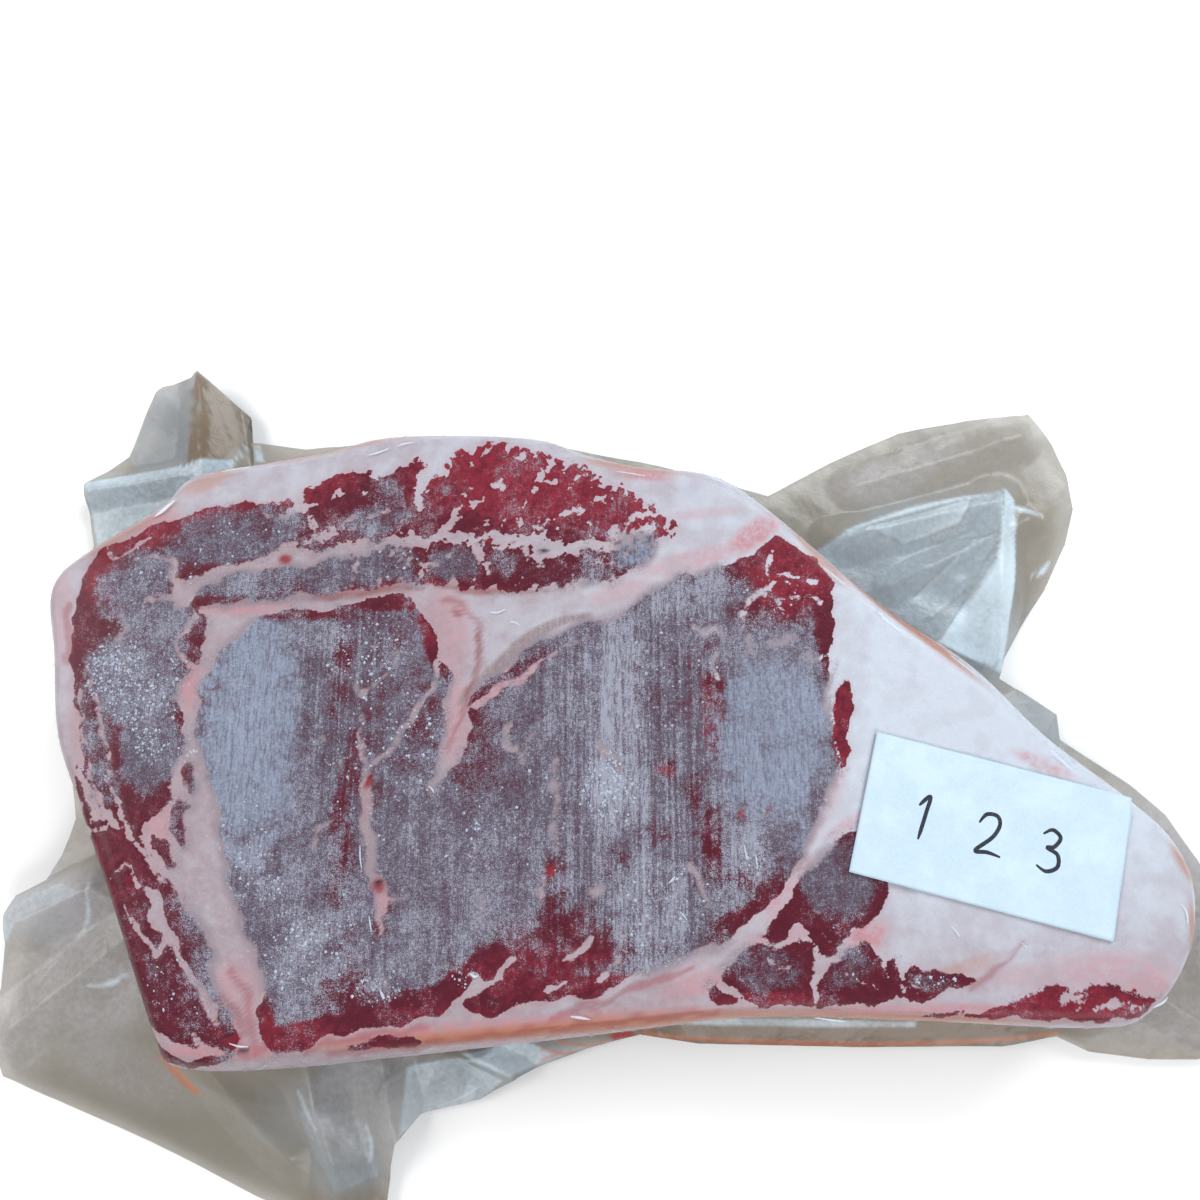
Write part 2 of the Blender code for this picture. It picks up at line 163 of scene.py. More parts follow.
# Streaks of fat inside the muscles: x, y and half the streak's width at each point
VEINS = (
    ((-117, -70.5, 0.3), (-113, -74, 1.3), (-107, -76, 1.7), (-100, -76.8, 1.2), (-95, -76.8, 0.6)),
    (
        (-117, 42.5, 3.4), (-113.5, 46, 2.7), (-108, 49.3, 2.0), (-100, 50.8, 1.8), (-92, 53.2, 3.0),
        (-86, 53.8, 3.3), (-81, 53.9, 2.8), (-70, 56.3, 2.5), (-60, 58, 2.2), (-50, 59.1, 1.9),
        (-40, 59.8, 1.9), (-30, 59.8, 1.9), (-20, 58.7, 2.3), (-16, 57, 3.2), (-8, 57, 2.1),
        (0, 57.2, 1.5), (6, 58, 1.7), (11, 60, 1.5), (16, 63.5, 1.3),
    ),
    (
        (-117, 42.5, 3.0), (-119.5, 47, 1.3), (-120, 51, 1.5), (-122.5, 54, 1.0), (-128, 54, 0.9),
        (-131, 52.5, 0.5),
    ),
    ((-117, 42.5, 2.5), (-122, 42.3, 1.2), (-126, 41.5, 1.0), (-128, 41, 0.4)),
    ((-140, 55.3, 0.5), (-135.5, 54.5, 0.8), (-131, 57.5, 0.7), (-127.5, 59.3, 0.4)),
    ((-96.5, 66.5, 0.5), (-92, 66, 1.0), (-88.5, 67.3, 1.5), (-86, 69.5, 1.6), (-88.5, 72, 1.5)),
    (
        (-87, 68, 1.2), (-84, 67, 1.2), (-81.5, 64.5, 1.4), (-80.2, 61.5, 1.3), (-77, 62.3, 1.1),
        (-72, 64.5, 0.9), (-67, 66.3, 0.9), (-61, 67.3, 0.9),
    ),
    ((-84, 69.5, 0.5), (-79, 70.5, 0.6), (-75.3, 72.3, 0.9), (-75.2, 75, 0.7)),
    ((-75.3, 72.3, 0.8), (-71, 72.8, 0.4), (-66, 73.5, 0.3)),
    ((-92, 56.5, 1.2), (-84, 58.5, 1.0), (-78, 60.3, 0.9), (-72, 62.3, 0.8), (-65, 63.8, 0.6)),
    ((-64.8, 79, 1.0), (-63.5, 75.5, 0.6), (-64.3, 72, 0.4)), ((-60, 61, 0.8), (-57.5, 62.3, 0.4)),
    ((-53.5, 61, 0.9), (-51.7, 63.2, 0.7)),
    (
        (-42.5, 62, 1.6), (-42, 65, 1.4), (-40.8, 68, 1.1), (-38, 69.7, 0.9), (-35, 70.3, 0.8),
        (-32.5, 71.3, 0.5),
    ),
    ((-40, 69.5, 0.6), (-38.5, 73, 0.5), (-36, 74.5, 0.3)),
    ((-19.5, 60, 1.0), (-15, 63.6, 0.8), (-11, 66.3, 0.9), (-7.5, 68.3, 1.6), (-5.3, 67.5, 1.2)),
    (
        (-26, 67.8, 0.6), (-22.5, 69.3, 0.5), (-19.5, 72.3, 0.6), (-17.7, 75.5, 0.9), (-17, 78.5, 1.5),
        (-17.8, 81, 0.5),
    ),
    ((-17, 77, 1.0), (-13, 76.5, 0.5), (-11, 77, 0.4), (-10.2, 80.5, 0.5)),
    ((-24.5, 65.5, 0.8), (-23, 64, 1.4), (-22.3, 62, 0.5)),
    ((-22.2, 84.5, 0.8), (-21, 82.3, 0.5), (-20, 80, 0.3)),
    ((-4, 70.5, 0.5), (0, 70, 0.5), (3, 71.3, 0.4)),
    ((2.8, 59, 0.8), (4.5, 61.3, 2.4), (7, 61, 1.8), (8, 64.5, 0.8), (12.5, 66, 0.6), (15, 67.5, 0.5)),
    ((9, 60, 0.8), (14, 62.8, 1.0), (17, 64.3, 0.6)),
    ((-49.5, 49.7, 1.0), (-46.5, 51.5, 1.2), (-43.5, 54.5, 1.0), (-40.5, 57.3, 0.9), (-39, 59, 0.8)),
    ((-35.8, 58, 1.0), (-34.8, 55.3, 1.4), (-33, 53.3, 1.6), (-31.5, 51.3, 1.3), (-31.2, 48.8, 0.8)),
    ((-18.5, 56, 2.0), (-17.2, 52.5, 1.7), (-16.3, 49.7, 0.8)),
    ((-13, 53.7, 0.5), (-8.5, 55, 0.5), (-3, 53.8, 0.6), (3, 53, 0.7)),
    ((-68.5, 56, 0.8), (-68.8, 52.5, 1.1), (-68.8, 48.5, 0.7)), ((-28.5, 75.5, 2.0), (-26.5, 74.5, 1.0)),
    ((-55.5, 53, 0.8), (-51, 51.5, 0.7), (-46, 51.8, 0.8)),
    (
        (-66, 12, 0.6), (-65, 4, 0.9), (-64.5, -1, 1.0), (-62.8, -6, 1.2), (-63, -13, 1.8),
        (-62.3, -20, 1.9), (-61, -27, 1.9), (-59.8, -33, 2.0), (-57.8, -38, 2.2), (-57.2, -43, 1.4),
        (-58, -48.5, 0.5),
    ),
    (
        (-63, -4, 1.2), (-59, -2, 1.2), (-56.5, 0, 1.0), (-54.5, 4, 1.1), (-52, 8, 1.1),
        (-49.5, 12.5, 1.0), (-47, 15.5, 0.9), (-45.3, 19, 0.8), (-44.8, 24, 0.5),
    ),
    (
        (-69, 21, 0.4), (-66, 15.5, 0.9), (-62.5, 18, 0.8), (-59, 20.5, 0.8), (-57, 24, 0.6),
        (-56, 28, 0.4),
    ),
    ((-76, 2.5, 0.6), (-72, 1, 0.5), (-70.5, -4, 0.6), (-70.5, -9, 0.5)),
    ((-76, -26, 0.9), (-74.3, -21, 0.7), (-71.5, -18, 0.4)),
    ((-57, -38, 1.2), (-53, -38.5, 0.8), (-50.5, -37, 0.5)),
    ((-58, -56, 0.6), (-55.5, -60, 0.8), (-54, -63.5, 0.4)),
    ((-113, 36.5, 1.0), (-116.3, 32.5, 1.0), (-117.7, 28.5, 1.1), (-115.3, 24.5, 1.0), (-112.5, 22, 1.0)),
    (
        (-141.5, 22.5, 0.5), (-139.5, 16.5, 0.8), (-137, 10.5, 0.8), (-135, 5, 0.6), (-133.8, 0, 0.6),
        (-132.3, -6, 0.7), (-130.8, -12, 0.8), (-128, -18, 1.0), (-124.5, -22.5, 1.0),
        (-120.5, -27.5, 0.9), (-116.5, -32.5, 0.7), (-113, -37.5, 0.5),
    ),
    (
        (-138.8, 2, 0.4), (-138.3, -4, 0.6), (-136, -9.5, 0.7), (-133.8, -14.5, 0.9), (-131.5, -18, 1.5),
        (-129, -20.3, 1.0), (-125, -20, 0.6),
    ),
    ((-137.5, -20.2, 0.6), (-133, -21, 0.6), (-129.5, -20.5, 0.7)),
    ((-142.5, 16, 0.4), (-141.5, 8, 0.5), (-139.5, 1.2, 0.8)),
    ((-134.5, 43, 0.3), (-133, 36, 0.7), (-132.5, 28, 0.9), (-131, 22, 0.5)),
    (
        (-118.5, -36.5, 1.1), (-116.7, -41, 2.1), (-114, -46.5, 2.0), (-110.3, -51.5, 1.1),
        (-107, -56, 1.0), (-103.7, -60.5, 1.1), (-101, -65, 1.6), (-98, -69.5, 1.2),
    ),
    (
        (-127, -38, 0.4), (-123, -43.3, 0.5), (-118.5, -48, 0.5), (-115.7, -52.5, 0.8),
        (-113.5, -49.5, 0.8),
    ),
    ((-128.5, -34, 0.5), (-125.5, -30.5, 0.5), (-121, -35.5, 0.4)),
    ((-104, -72, 0.6), (-101.5, -74.5, 0.8), (-97, -76, 0.6)),
    (
        (-36.5, 11.5, 0.9), (-31, 13.8, 1.0), (-27, 17, 1.1), (-20.5, 20.5, 1.0), (-15, 25, 0.7),
        (-9, 28.5, 0.5), (-3, 30, 0.4),
    ),
    (
        (-25.3, 7.5, 0.5), (-25, 2, 1.5), (-22.5, 0.5, 0.9), (-20.7, -3.5, 0.7), (-19.5, 1, 0.7),
        (-17.2, 6.5, 0.7),
    ),
    ((-12.8, -2.5, 1.1), (-12.2, -8, 1.3), (-12, -15, 1.0), (-12.3, -22, 0.9), (-12.6, -27, 0.7)),
    ((-14, -33, 0.6), (-15.5, -37, 0.9), (-16, -41, 0.4)),
    ((-30.8, -38, 0.7), (-30.8, -43, 0.9), (-31.5, -47, 0.5)),
    (
        (38.5, 31, 0.4), (39.5, 35.5, 0.8), (41.7, 40, 0.9), (44.3, 44.3, 0.9), (47.5, 45.5, 0.6),
        (50, 48, 0.5), (54, 48.8, 0.4), (58, 48, 0.4), (61, 47.3, 0.6),
    ),
    ((44.3, 44.3, 0.5), (48, 43, 0.3), (53, 41.5, 0.4), (57.5, 43, 0.3), (62, 41.5, 0.4)),
    ((47.5, 45.5, 0.4), (51, 40, 0.3), (52.5, 36, 0.4)),
    ((46.5, 47, 0.4), (47.3, 50.5, 0.6), (48.3, 53, 0.5), (49, 55.5, 0.4)),
    (
        (25.8, 33.5, 1.0), (28.5, 33, 1.3), (32.5, 34, 0.9), (33.5, 30, 0.6), (32, 25, 0.7),
        (31.5, 20, 0.6),
    ),
    ((47.5, 29.5, 1.2), (50, 28.8, 1.6), (52.5, 31, 1.0), (54, 31.5, 0.5)),
    ((41.5, 32, 0.7), (42.5, 29, 0.9), (41, 27, 0.5)),
    ((57, 27, 0.6), (60, 25.2, 0.8), (62.5, 25.5, 0.5)),
    ((24, -30, 0.9), (26, -33, 1.2), (27.3, -37, 1.2), (28, -40, 0.6)),
    (
        (-39, -67, 1.4), (-35.3, -64, 1.1), (-32.3, -61, 1.4), (-28, -59.3, 0.7), (-25.5, -57.5, 0.9),
        (-23.8, -54.5, 0.7), (-22.3, -53, 0.4),
    ),
    ((-33.5, -57.5, 0.7), (-31.5, -59.5, 1.0)), ((-14.5, -61.5, 0.4), (-9.5, -58.8, 0.4)),
    ((-9.5, -54, 0.4), (-6.5, -52.5, 0.7), (-3.5, -50.3, 0.9), (-2, -48.5, 0.5)),
    ((-1, -59.5, 0.4), (2, -57.5, 0.7), (4, -54, 0.7), (5, -50, 0.6), (6, -46, 0.4)),
    ((0.5, 2, 1.8), (3, -2, 2.5), (5, -6, 1.2)), ((0, -36, 1.8), (-2.5, -37, 1.4)),
    ((44, -53.5, 0.4), (46, -55, 0.7), (49, -55.5, 0.5)),
    ((64, -57.5, 0.4), (68, -59.5, 0.4), (72, -60.5, 0.5)), ((80.5, -60, 0.4), (84, -61, 0.4)),
    ((119, -64.5, 0.8), (121.5, -62.8, 1.2), (124, -63.7, 0.8), (122.5, -66, 0.4)),
    ((128, -66, 0.8), (133, -65, 1.0), (139, -65.5, 0.8)),
)

# Soft round zones: centre x and y, half sizes along and across, turn in degrees, strength
FROST = (
    (-86, -12, 26, 62, 2, 0.9), (-60, 14, 20, 34, 0, 0.66), (-46, -36, 22, 32, 0, 0.92),
    (-2, -10, 36, 56, 0, 0.9), (44, 4, 26, 38, 0, 0.9), (20, 30, 26, 20, 30, 0.9),
    (22, -46, 20, 14, 20, 0.85), (-105, 60, 19, 8, 10, 0.62), (-64, 65, 9, 5, 10, 0.55),
    (-60, 72, 4, 8, 0, 0.35), (-76, 50, 18, 6, 8, 0.75), (-60, 53, 9, 6, 0, 0.75),
    (-41, 52, 7, 5, 0, 0.75), (-24, 52, 8, 4, 0, 0.3), (-100, 47, 18, 4, 5, 0.85), (-3, 55, 5, 3, 0, 0.4),
    (4, 64, 6, 6, 0, 0.25), (10, 56, 7, 6, 0, 0.8), (-42, 75, 5, 3, 0, 0.35), (-129, 48, 10, 9, 0, 0.65),
    (-124, 37, 10, 7, 0, 0.65), (-122, 0, 8, 11, 0, 0.9), (-137, 44, 5, 8, 0, 0.4),
    (-127, 21, 14, 14, 0, 0.8), (-134, -10, 5, 7, 0, 0.45), (-123, 14, 9, 8, 0, 0.7),
    (-138, 8, 5, 14, 10, 0.35), (-112, -57, 5, 10, 20, 0.26), (-103, -66, 5, 8, 20, 0.2),
    (63, -33, 11, 10, -20, 0.72), (44, -56, 10, 6, 0, 0.42), (64, -56, 7, 5, 20, 0.4),
    (86, -59, 6, 3, 0, 0.35), (-90, 41, 18, 2, 2, 0.4),
)
FRESH = (
    (-64, -71.5, 26, 3.4, 4, 0.95), (-87.5, -70, 4, 7, 0, 0.8), (-44, -64, 14, 4, 15, 0.8),
    (-84, 38, 13, 2.5, 0, 0.6), (-58, 41.5, 13, 3, 0, 0.7), (-46, 32, 3.5, 12, 12, 0.6),
    (-69.5, -24, 3.5, 18, 0, 0.55), (-67, -2, 2.5, 10, 0, 0.45), (-57, -43, 2.5, 7, 0, 0.5),
    (-50, 12, 5, 10, 0, 0.2), (-72, 18, 3, 14, 0, 0.4), (-9, -50, 15, 9, 0, 0.68),
    (-12, -35, 5, 9, 0, 0.5), (-14, -62, 26, 5, 0, 1.0), (-31, -58, 12, 6, 20, 0.9),
    (31, 12, 3.5, 17, 0, 0.55), (18, -5, 4, 4, 0, 0.5), (17, -21, 6, 4, 0, 0.3), (30, -22, 3, 9, 0, 0.5),
    (36, -45, 8, 4, 30, 0.65), (53, 53, 15, 8, -20, 0.95), (46, 37, 11, 5, 0, 0.5),
    (63, 34, 3, 13, 0, 0.9), (-30, 4, 8, 13, 20, 0.25), (29, 29, 5, 8, 0, 0.4), (-20, -23, 4, 6, 0, 0.25),
    (2, -60, 10, 3, 0, 0.8), (66.5, 6, 3.5, 14, 0, 0.9), (26, -12, 4, 7, 0, 0.3), (47, -37, 5, 4, 0, 0.3),
    (-24, 20, 14, 3, 33, 0.5), (3, -30, 4, 6, 0, 0.25),
)
DIM_FROST = (
    (62, -36, 16, 14, 0, 1.0), (50, -57, 14, 6, 0, 1.2), (66, -57, 10, 6, 0, 1.0),
    (-105, 58, 22, 12, 8, 0.7), (-70, 51, 40, 8, 0, 0.7), (-60, 12, 18, 34, 0, 0.6),
    (-125, 15, 18, 50, 0, 0.3), (-40, 52, 12, 8, 0, 0.7), (-28, -14, 18, 30, 0, 0.3),
    (48, 40, 16, 8, 0, 0.5), (8, 64, 12, 10, 0, 0.5), (-48, -30, 12, 20, 0, 0.3),
    (-92, -40, 10, 12, 0, 0.3),
)
SMOOTH_FROST = (
    (-96, 8, 14, 32, 3, 1.0), (47, 4, 16, 21, -4, 0.9), (-92, -14, 10, 18, 0, 0.6),
    (10, 56, 5, 5, 0, 0.7), (52, -20, 7, 10, 20, 0.4),
)
LIGHT_FROST = (
    (6, 12, 7, 28, 0, 1.05), (25, 43, 13, 6, 18, 0.7), (13, -43, 8, 18, 0, 0.7), (4, -8, 8, 13, 0, 1.15),
    (-96, 47, 13, 4, 0, 0.6), (-92, -28, 4, 5, 0, 0.9), (-88, -37, 3, 4, 0, 0.8),
    (-76, -48, 5, 4, 0, 0.8), (-71, -60, 4, 3, 0, 0.8), (-60, -61, 3, 3, 0, 0.8),
    (-82, -56, 5, 5, 0, 0.4), (-125, 22, 14, 14, 0, 0.4), (40, -28, 5, 8, 0, 0.8),
    (37, -40, 10, 8, 0, 0.45), (-70, 27, 6, 7, 0, 0.5), (-58, 27, 4, 6, 0, 0.6), (50, 15, 10, 8, 0, 0.4),
    (-34, -38, 12, 14, 0, 0.3), (-97, 8, 8, 24, 0, 0.35), (-36, -58, 4, 3, 0, 0.7),
    (66, -47, 4, 5, 0, 0.6), (18, -34, 5, 5, 0, 0.6),
)
STREAKS = (
    (8, 0, 26, 62, 0, 0.9), (-70, 10, 12, 34, 0, 0.8), (-60, 65, 8, 14, 0, 0.6), (-92, 0, 20, 45, 0, 0.3),
    (30, -20, 10, 40, 0, 0.4), (-50, -40, 14, 24, 0, 0.4), (4, 64, 8, 8, 0, 0.8),
    (-74, 50, 20, 6, 0, 0.4),
)
CRYSTALS = (
    (-134, 22, 8, 9, -25, 1.0), (-127, 14, 10, 8, -20, 0.8), (-122, 2, 5, 5, 0, 0.9),
    (-117, 16, 4, 10, 0, 0.5), (-112, 0, 3, 3, 0, 0.7), (-134, -11, 4, 4, 0, 0.5),
    (-92, -30, 6, 12, -20, 0.45), (-76, -50, 15, 12, 0, 0.42), (-88, -37, 5, 5, 0, 0.55),
    (-75, -48, 6, 5, 0, 0.65), (-95, -20, 8, 8, 0, 0.3), (-64, 27, 11, 11, 0, 0.5),
    (-60, 0, 16, 20, 0, 0.3), (2, -10, 7, 9, 0, 1.0), (14, -40, 14, 16, 0, 0.35), (40, -28, 4, 7, 0, 0.5),
    (-112, -58, 6, 10, 20, 0.3), (-104, -68, 5, 6, 20, 0.35), (64, -46, 6, 6, 0, 0.3),
    (68, -55, 6, 4, 0, 0.3), (-60, 53, 10, 5, 0, 0.3), (-105, 58, 16, 8, 10, 0.25),
    (50, 42, 12, 10, 0, 0.3), (-58, -61, 9, 4, 0, 0.6), (-125, 50, 10, 8, 0, 0.25),
    (18, 20, 14, 20, 0, 0.25), (86, -60, 8, 3, 0, 0.5), (-35, -58, 3, 3, 0, 0.7), (-48, 5, 7, 8, 0, 0.45),
    (-20, -20, 20, 20, 0, 0.2),
)
BRIGHT = (
    (-25, 78, 32, 14, -8, 0.9), (8, 66, 14, 10, -25, 0.9), (-82, 75, 14, 5, 20, 0.7),
    (-112, 66, 18, 4, 20, 0.7), (54, 50, 13, 12, 0, 0.85), (-129, 61, 14, 5, 25, 0.8),
    (-140, 50, 6, 10, 0, 0.6), (-50, 34, 6, 12, -20, 0.5), (115, -65, 30, 5, 0, 0.8),
    (-128, -30, 8, 10, 0, 0.3), (66, 8, 4, 14, 0, 0.7), (28, 8, 5, 14, 0, 0.5), (-8, -58, 26, 8, 0, 0.35),
    (-80, -72, 14, 5, 0, 0.5), (-40, -68, 14, 3, 0, 0.5), (45, -63.5, 14, 2, 0, 0.6),
)
BLUSH = (
    (44, 61, 9, 3.5, 35, 1.0), (27, 53.5, 15, 3, 16, 0.6), (6, 44, 9, 3, 15, 0.45),
    (-42, 34, 6, 12, 10, 0.5), (-40, 10, 4, 18, 10, 0.6), (-151, 40, 3, 16, 8, 0.45),
    (-100, 40, 14, 2.5, 2, 0.7), (-113, 20, 3, 9, 0, 0.8), (-94, -64, 8, 10, 0, 0.5),
    (-118, -20, 6, 6, 0, 0.6), (50, -36, 5, 10, -40, 0.7), (60, -12, 4, 14, -25, 0.6),
    (52, -47, 14, 2, 10, 0.9), (70, -48, 6, 4, 30, 1.0), (133, -57, 16, 5, 0, 0.55),
    (141, -60, 6, 4, 0, 0.8), (116, -58, 20, 3, 0, 0.4), (25, -60, 10, 3, 15, 0.7),
    (-20, -70, 60, 2.2, 4, 0.9), (12, 78.5, 9, 1.5, -5, 0.9), (120, -4, 8, 2, -25, 0.7),
    (-63, -12, 2, 8, 0, 0.8), (-57, -38, 4, 5, 0, 0.8), (-70, 44, 20, 1.5, 0, 0.5),
    (-140, 2, 3, 14, 20, 0.4), (30, 67, 12, 1.5, 5, 0.35), (-126, 64, 6, 3, 30, 0.7),
    (-24, 19, 14, 2.5, 33, 0.9), (84, -66, 30, 1.3, 0, 1.0), (-97, -76, 16, 2.5, 0, 0.8),
    (18, -58, 10, 1.2, 20, 0.4), (66, -20, 6, 2, 30, 0.6),
)
BLOOD = (
    (-89, 53.5, 1.9, 1.4, 0, 0.9), (-31.5, 59.2, 1.1, 0.6, 10, 0.8), (-24.5, 58.7, 0.8, 0.4, 0, 0.6),
    (-62.3, -8.3, 0.8, 2.3, -20, 1.0), (-13, -31.3, 1.0, 2.2, 0, 1.0), (37.8, -17, 0.7, 1.4, 10, 0.8),
    (44.8, -16, 0.6, 1.0, -20, 0.6), (-40, 38, 1.8, 1.0, -45, 0.6), (-34, 31, 0.8, 1.6, 0, 0.6),
    (-58.4, -35.5, 1.6, 2.0, 20, 0.8), (17.5, -5.5, 2.2, 1.2, -15, 0.5), (-93.2, -73, 2.4, 1.4, 20, 0.45),
)
# Spots of painted shade: inside small holes in the meat, and under a fold of film at the near left corner
PAINTED_SHADE_SPOTS = (
    (-16, 56, 1.3, 0.7, 10, 1.0), (-58.4, -34.6, 0.9, 0.8, 0, 1.0), (-12.9, -29.7, 0.8, 0.7, 0, 0.9),
    (-94.8, -72.0, 1.0, 0.6, 20, 0.8), (-90.8, -75.9, 3.0, 0.4, -12, 0.8),
    (-62, -7.2, 0.5, 0.8, -20, 0.6),
)
BLOOD_LINES = (
    (
        (-44, 41, 0.35), (-40, 41.2, 0.35), (-36.5, 38.5, 0.4), (-34, 34, 0.4), (-33.2, 30, 0.5),
        (-33.5, 25, 0.35), (-34.8, 20, 0.3), (-36.5, 14, 0.3), (-39, 7, 0.25), (-41, 0, 0.2),
    ),
    ((-95.5, -56.8, 0.35), (-92.5, -59.5, 0.35), (-91, -64, 0.35), (-89.8, -68, 0.45), (-88.5, -72, 0.4)),
    ((-50, 47, 0.25), (-42, 45.4, 0.3), (-34, 44.2, 0.3), (-28, 44, 0.25)),
    ((-80, 42.8, 0.25), (-70, 43.2, 0.3), (-62, 45, 0.3), (-54, 45.5, 0.25)),
    ((-149, 40, 0.5), (-148.3, 35, 0.7), (-147.5, 30, 0.7), (-146.8, 24, 0.4)),
    ((110, -50, 0.12), (104, -55, 0.2), (99, -58.5, 0.2), (95, -61, 0.25)),
    ((-86, -76.5, 0.5), (-85.2, -72, 0.4), (-84.6, -66, 0.1)),
    ((-87.5, -76.5, 0.5), (-91.5, -69, 0.4), (-97.5, -62.5, 0.1)),
    ((-90, -77, 0.4), (-95.5, -73.5, 0.3), (-99, -70, 0.1)),
    ((-5, -65.2, 0.2), (3, -63.3, 0.3), (10, -60.6, 0.3), (18, -57.6, 0.3), (24, -56.6, 0.2)),
    ((-12, -68, 0.3), (-5, -66.2, 0.35), (0, -66, 0.2)),
    ((-75, -76, 0.4), (-66, -73.6, 0.4), (-56, -71.8, 0.35), (-44, -70.6, 0.3)),
    (
        (-70, -77, 0.5), (-50, -75.6, 0.6), (-30, -73, 0.6), (-10, -70.8, 0.5), (10, -68.8, 0.5),
        (30, -66.8, 0.4),
    ),
)
ORANGE = (
    (-10, -71, 60, 2.0, 4, 0.9), (60, -68.5, 50, 1.6, -1, 0.9), (84, 38, 26, 2.2, -42, 0.9),
    (62, 55, 12, 2.0, -50, 0.6), (-85, 86.5, 28, 1.6, 9, 0.6), (9, 81.5, 14, 1.6, -8, 0.7),
    (156.5, -50, 2, 10, 5, 0.8), (155.5, -30, 2, 6, 30, 0.7), (-113, 77, 8, 3, 30, 0.5),
    (-124, -58, 3, 22, 24, 0.5), (-135, 62, 16, 2, 30, 0.4), (92, -57, 12, 2, 20, 0.35),
)
FASCIA = (
    (
        (-38.5, 12.5, 0.4), (-35, 17, 1.5), (-28.5, 22.3, 1.9), (-22, 29, 1.8), (-15.5, 33.5, 1.5),
        (-9, 36.2, 1.1), (-3, 37.3, 0.4),
    ),
    (
        (-112, 39.3, 0.3), (-100, 41, 0.8), (-84, 42.4, 1.1), (-70, 42.8, 1.0), (-60, 44.6, 0.8),
        (-50, 45, 0.6),
    ),
    ((-44, 45.5, 0.3), (-30, 43.8, 0.5), (-14, 44.4, 0.3)),
    ((-34.5, 34, 0.2), (-33.4, 28, 0.5), (-34.5, 21, 0.4), (-37, 13, 0.3)),
)
MARBLED = (
    (-30, 66, 60, 22, 0, 1.0), (55, 42, 16, 16, 0, 0.7), (-128, -5, 16, 60, 12, 0.5),
    (-8, -56, 26, 12, 0, 0.6),
)
RAGGED = ((-35, 66, 62, 26, 0, 1.0), (-126, 15, 16, 50, 0, 0.45), (66, -55, 30, 12, 0, 0.35))

SOFT_EDGES = ((130, -62, 22, 8, 0, 0.8), (52, -47, 12, 4, 0, 0.3), (46, 36, 14, 12, 0, 0.4))

# Short clefts of fat in the cap: the parts of its outline and of its middle band that they leave,
# and their half widths at the start, in the middle and at the tip
OUTER_SPAN = slice(26, 38)
LOWER_SPAN = slice(41, 50)
MIDDLE_BAND = VEINS[1][8:18]
CLEFT_WIDTHS = (0.62, 0.36, 0.1)

# No distance is worked out beyond this one
NEAR = 9.0


def place(points):
    """Drawn places in millimetres as places in the model's frame, in metres."""
    return (np.asarray(points, float) + SHIFT) * MM


def label_shift():
    """How far the model's own frame is from the drawn one, told by where the label's solid lies."""
    low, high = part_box("label")
    middle = (low + high) / 2 / MM
    return np.array([middle.x - LABEL_CENTRE[0], middle.y - LABEL_CENTRE[1], 0.0])


SHIFT = label_shift()


def smooth_row(points, closed, steps=6):
    """A close row of points on one smooth curve through the given ones."""
    points = np.asarray(points, float)
    count = len(points)
    row = []
    for i in range(count if closed else count - 1):
        if closed:
            four = [points[(i + k) % count] for k in (-1, 0, 1, 2)]
        else:
            four = [points[min(max(i + k, 0), count - 1)] for k in (-1, 0, 1, 2)]
        before, start, end, after = four
        for step in range(steps):
            share = step / steps
            row.append(0.5 * (
                2 * start + (end - before) * share
                + (2 * before - 5 * start + 4 * end - after) * share ** 2
                + (3 * start - before - 3 * end + after) * share ** 3
            ))
    row.append(points[0] if closed else points[-1])
    return np.array(row)


def even_loop(points, count):
    """A closed row cut into count equal lengths."""
    lengths = np.linalg.norm(np.diff(points, axis=0), axis=1)
    along = np.concatenate([[0], np.cumsum(lengths)])
    stops = np.arange(count) * along[-1] / count
    return np.stack([np.interp(stops, along, points[:, axis]) for axis in range(points.shape[1])], 1)


def outward(loop):
    """Unit vectors out of a clockwise loop."""
    along = np.roll(loop, -1, 0) - np.roll(loop, 1, 0)
    ways = np.stack([-along[:, 1], along[:, 0]], 1)
    return ways / np.linalg.norm(ways, axis=1, keepdims=True)


def segment_distance(spots, start, end):
    """Distance of flat spots to a segment, and the share of the way along it."""
    along = end[:2] - start[:2]
    share = np.clip(((spots - start[:2]) @ along) / max(along @ along, 1e-9), 0, 1)
    feet = start[:2] + share[:, None] * along
    return np.hypot(*(spots - feet).T), share


def close_by(spots, points, reach):
    """Indices of the spots near a row of points."""
    low = points[:, :2].min(0) - reach
    high = points[:, :2].max(0) + reach
    return np.flatnonzero(((spots > low) & (spots < high)).all(1))


def wander(spots):
    """Spots pushed about a little, so that drawn outlines and streaks lose their even curves."""
    x, y = spots.T
    push_x = 0.5 * np.sin(y / 1.9 + 1.3 * np.sin(x / 4.1)) + 0.3 * np.sin(y / 0.9 + x / 2.3)
    push_y = 0.5 * np.sin(x / 2.2 + 1.3 * np.sin(y / 3.7)) + 0.3 * np.sin(x / 1.1 - y / 1.7)
    return spots + np.stack([push_x, push_y], 1)


def ripple(spots):
    """A small swing between -1 and 1 that makes streaks thicker and thinner."""
    x, y = spots.T
    return np.sin(x / 1.3 + 2 * np.sin(y / 2.9)) * np.sin(y / 1.6 - 1.5 * np.sin(x / 3.7))


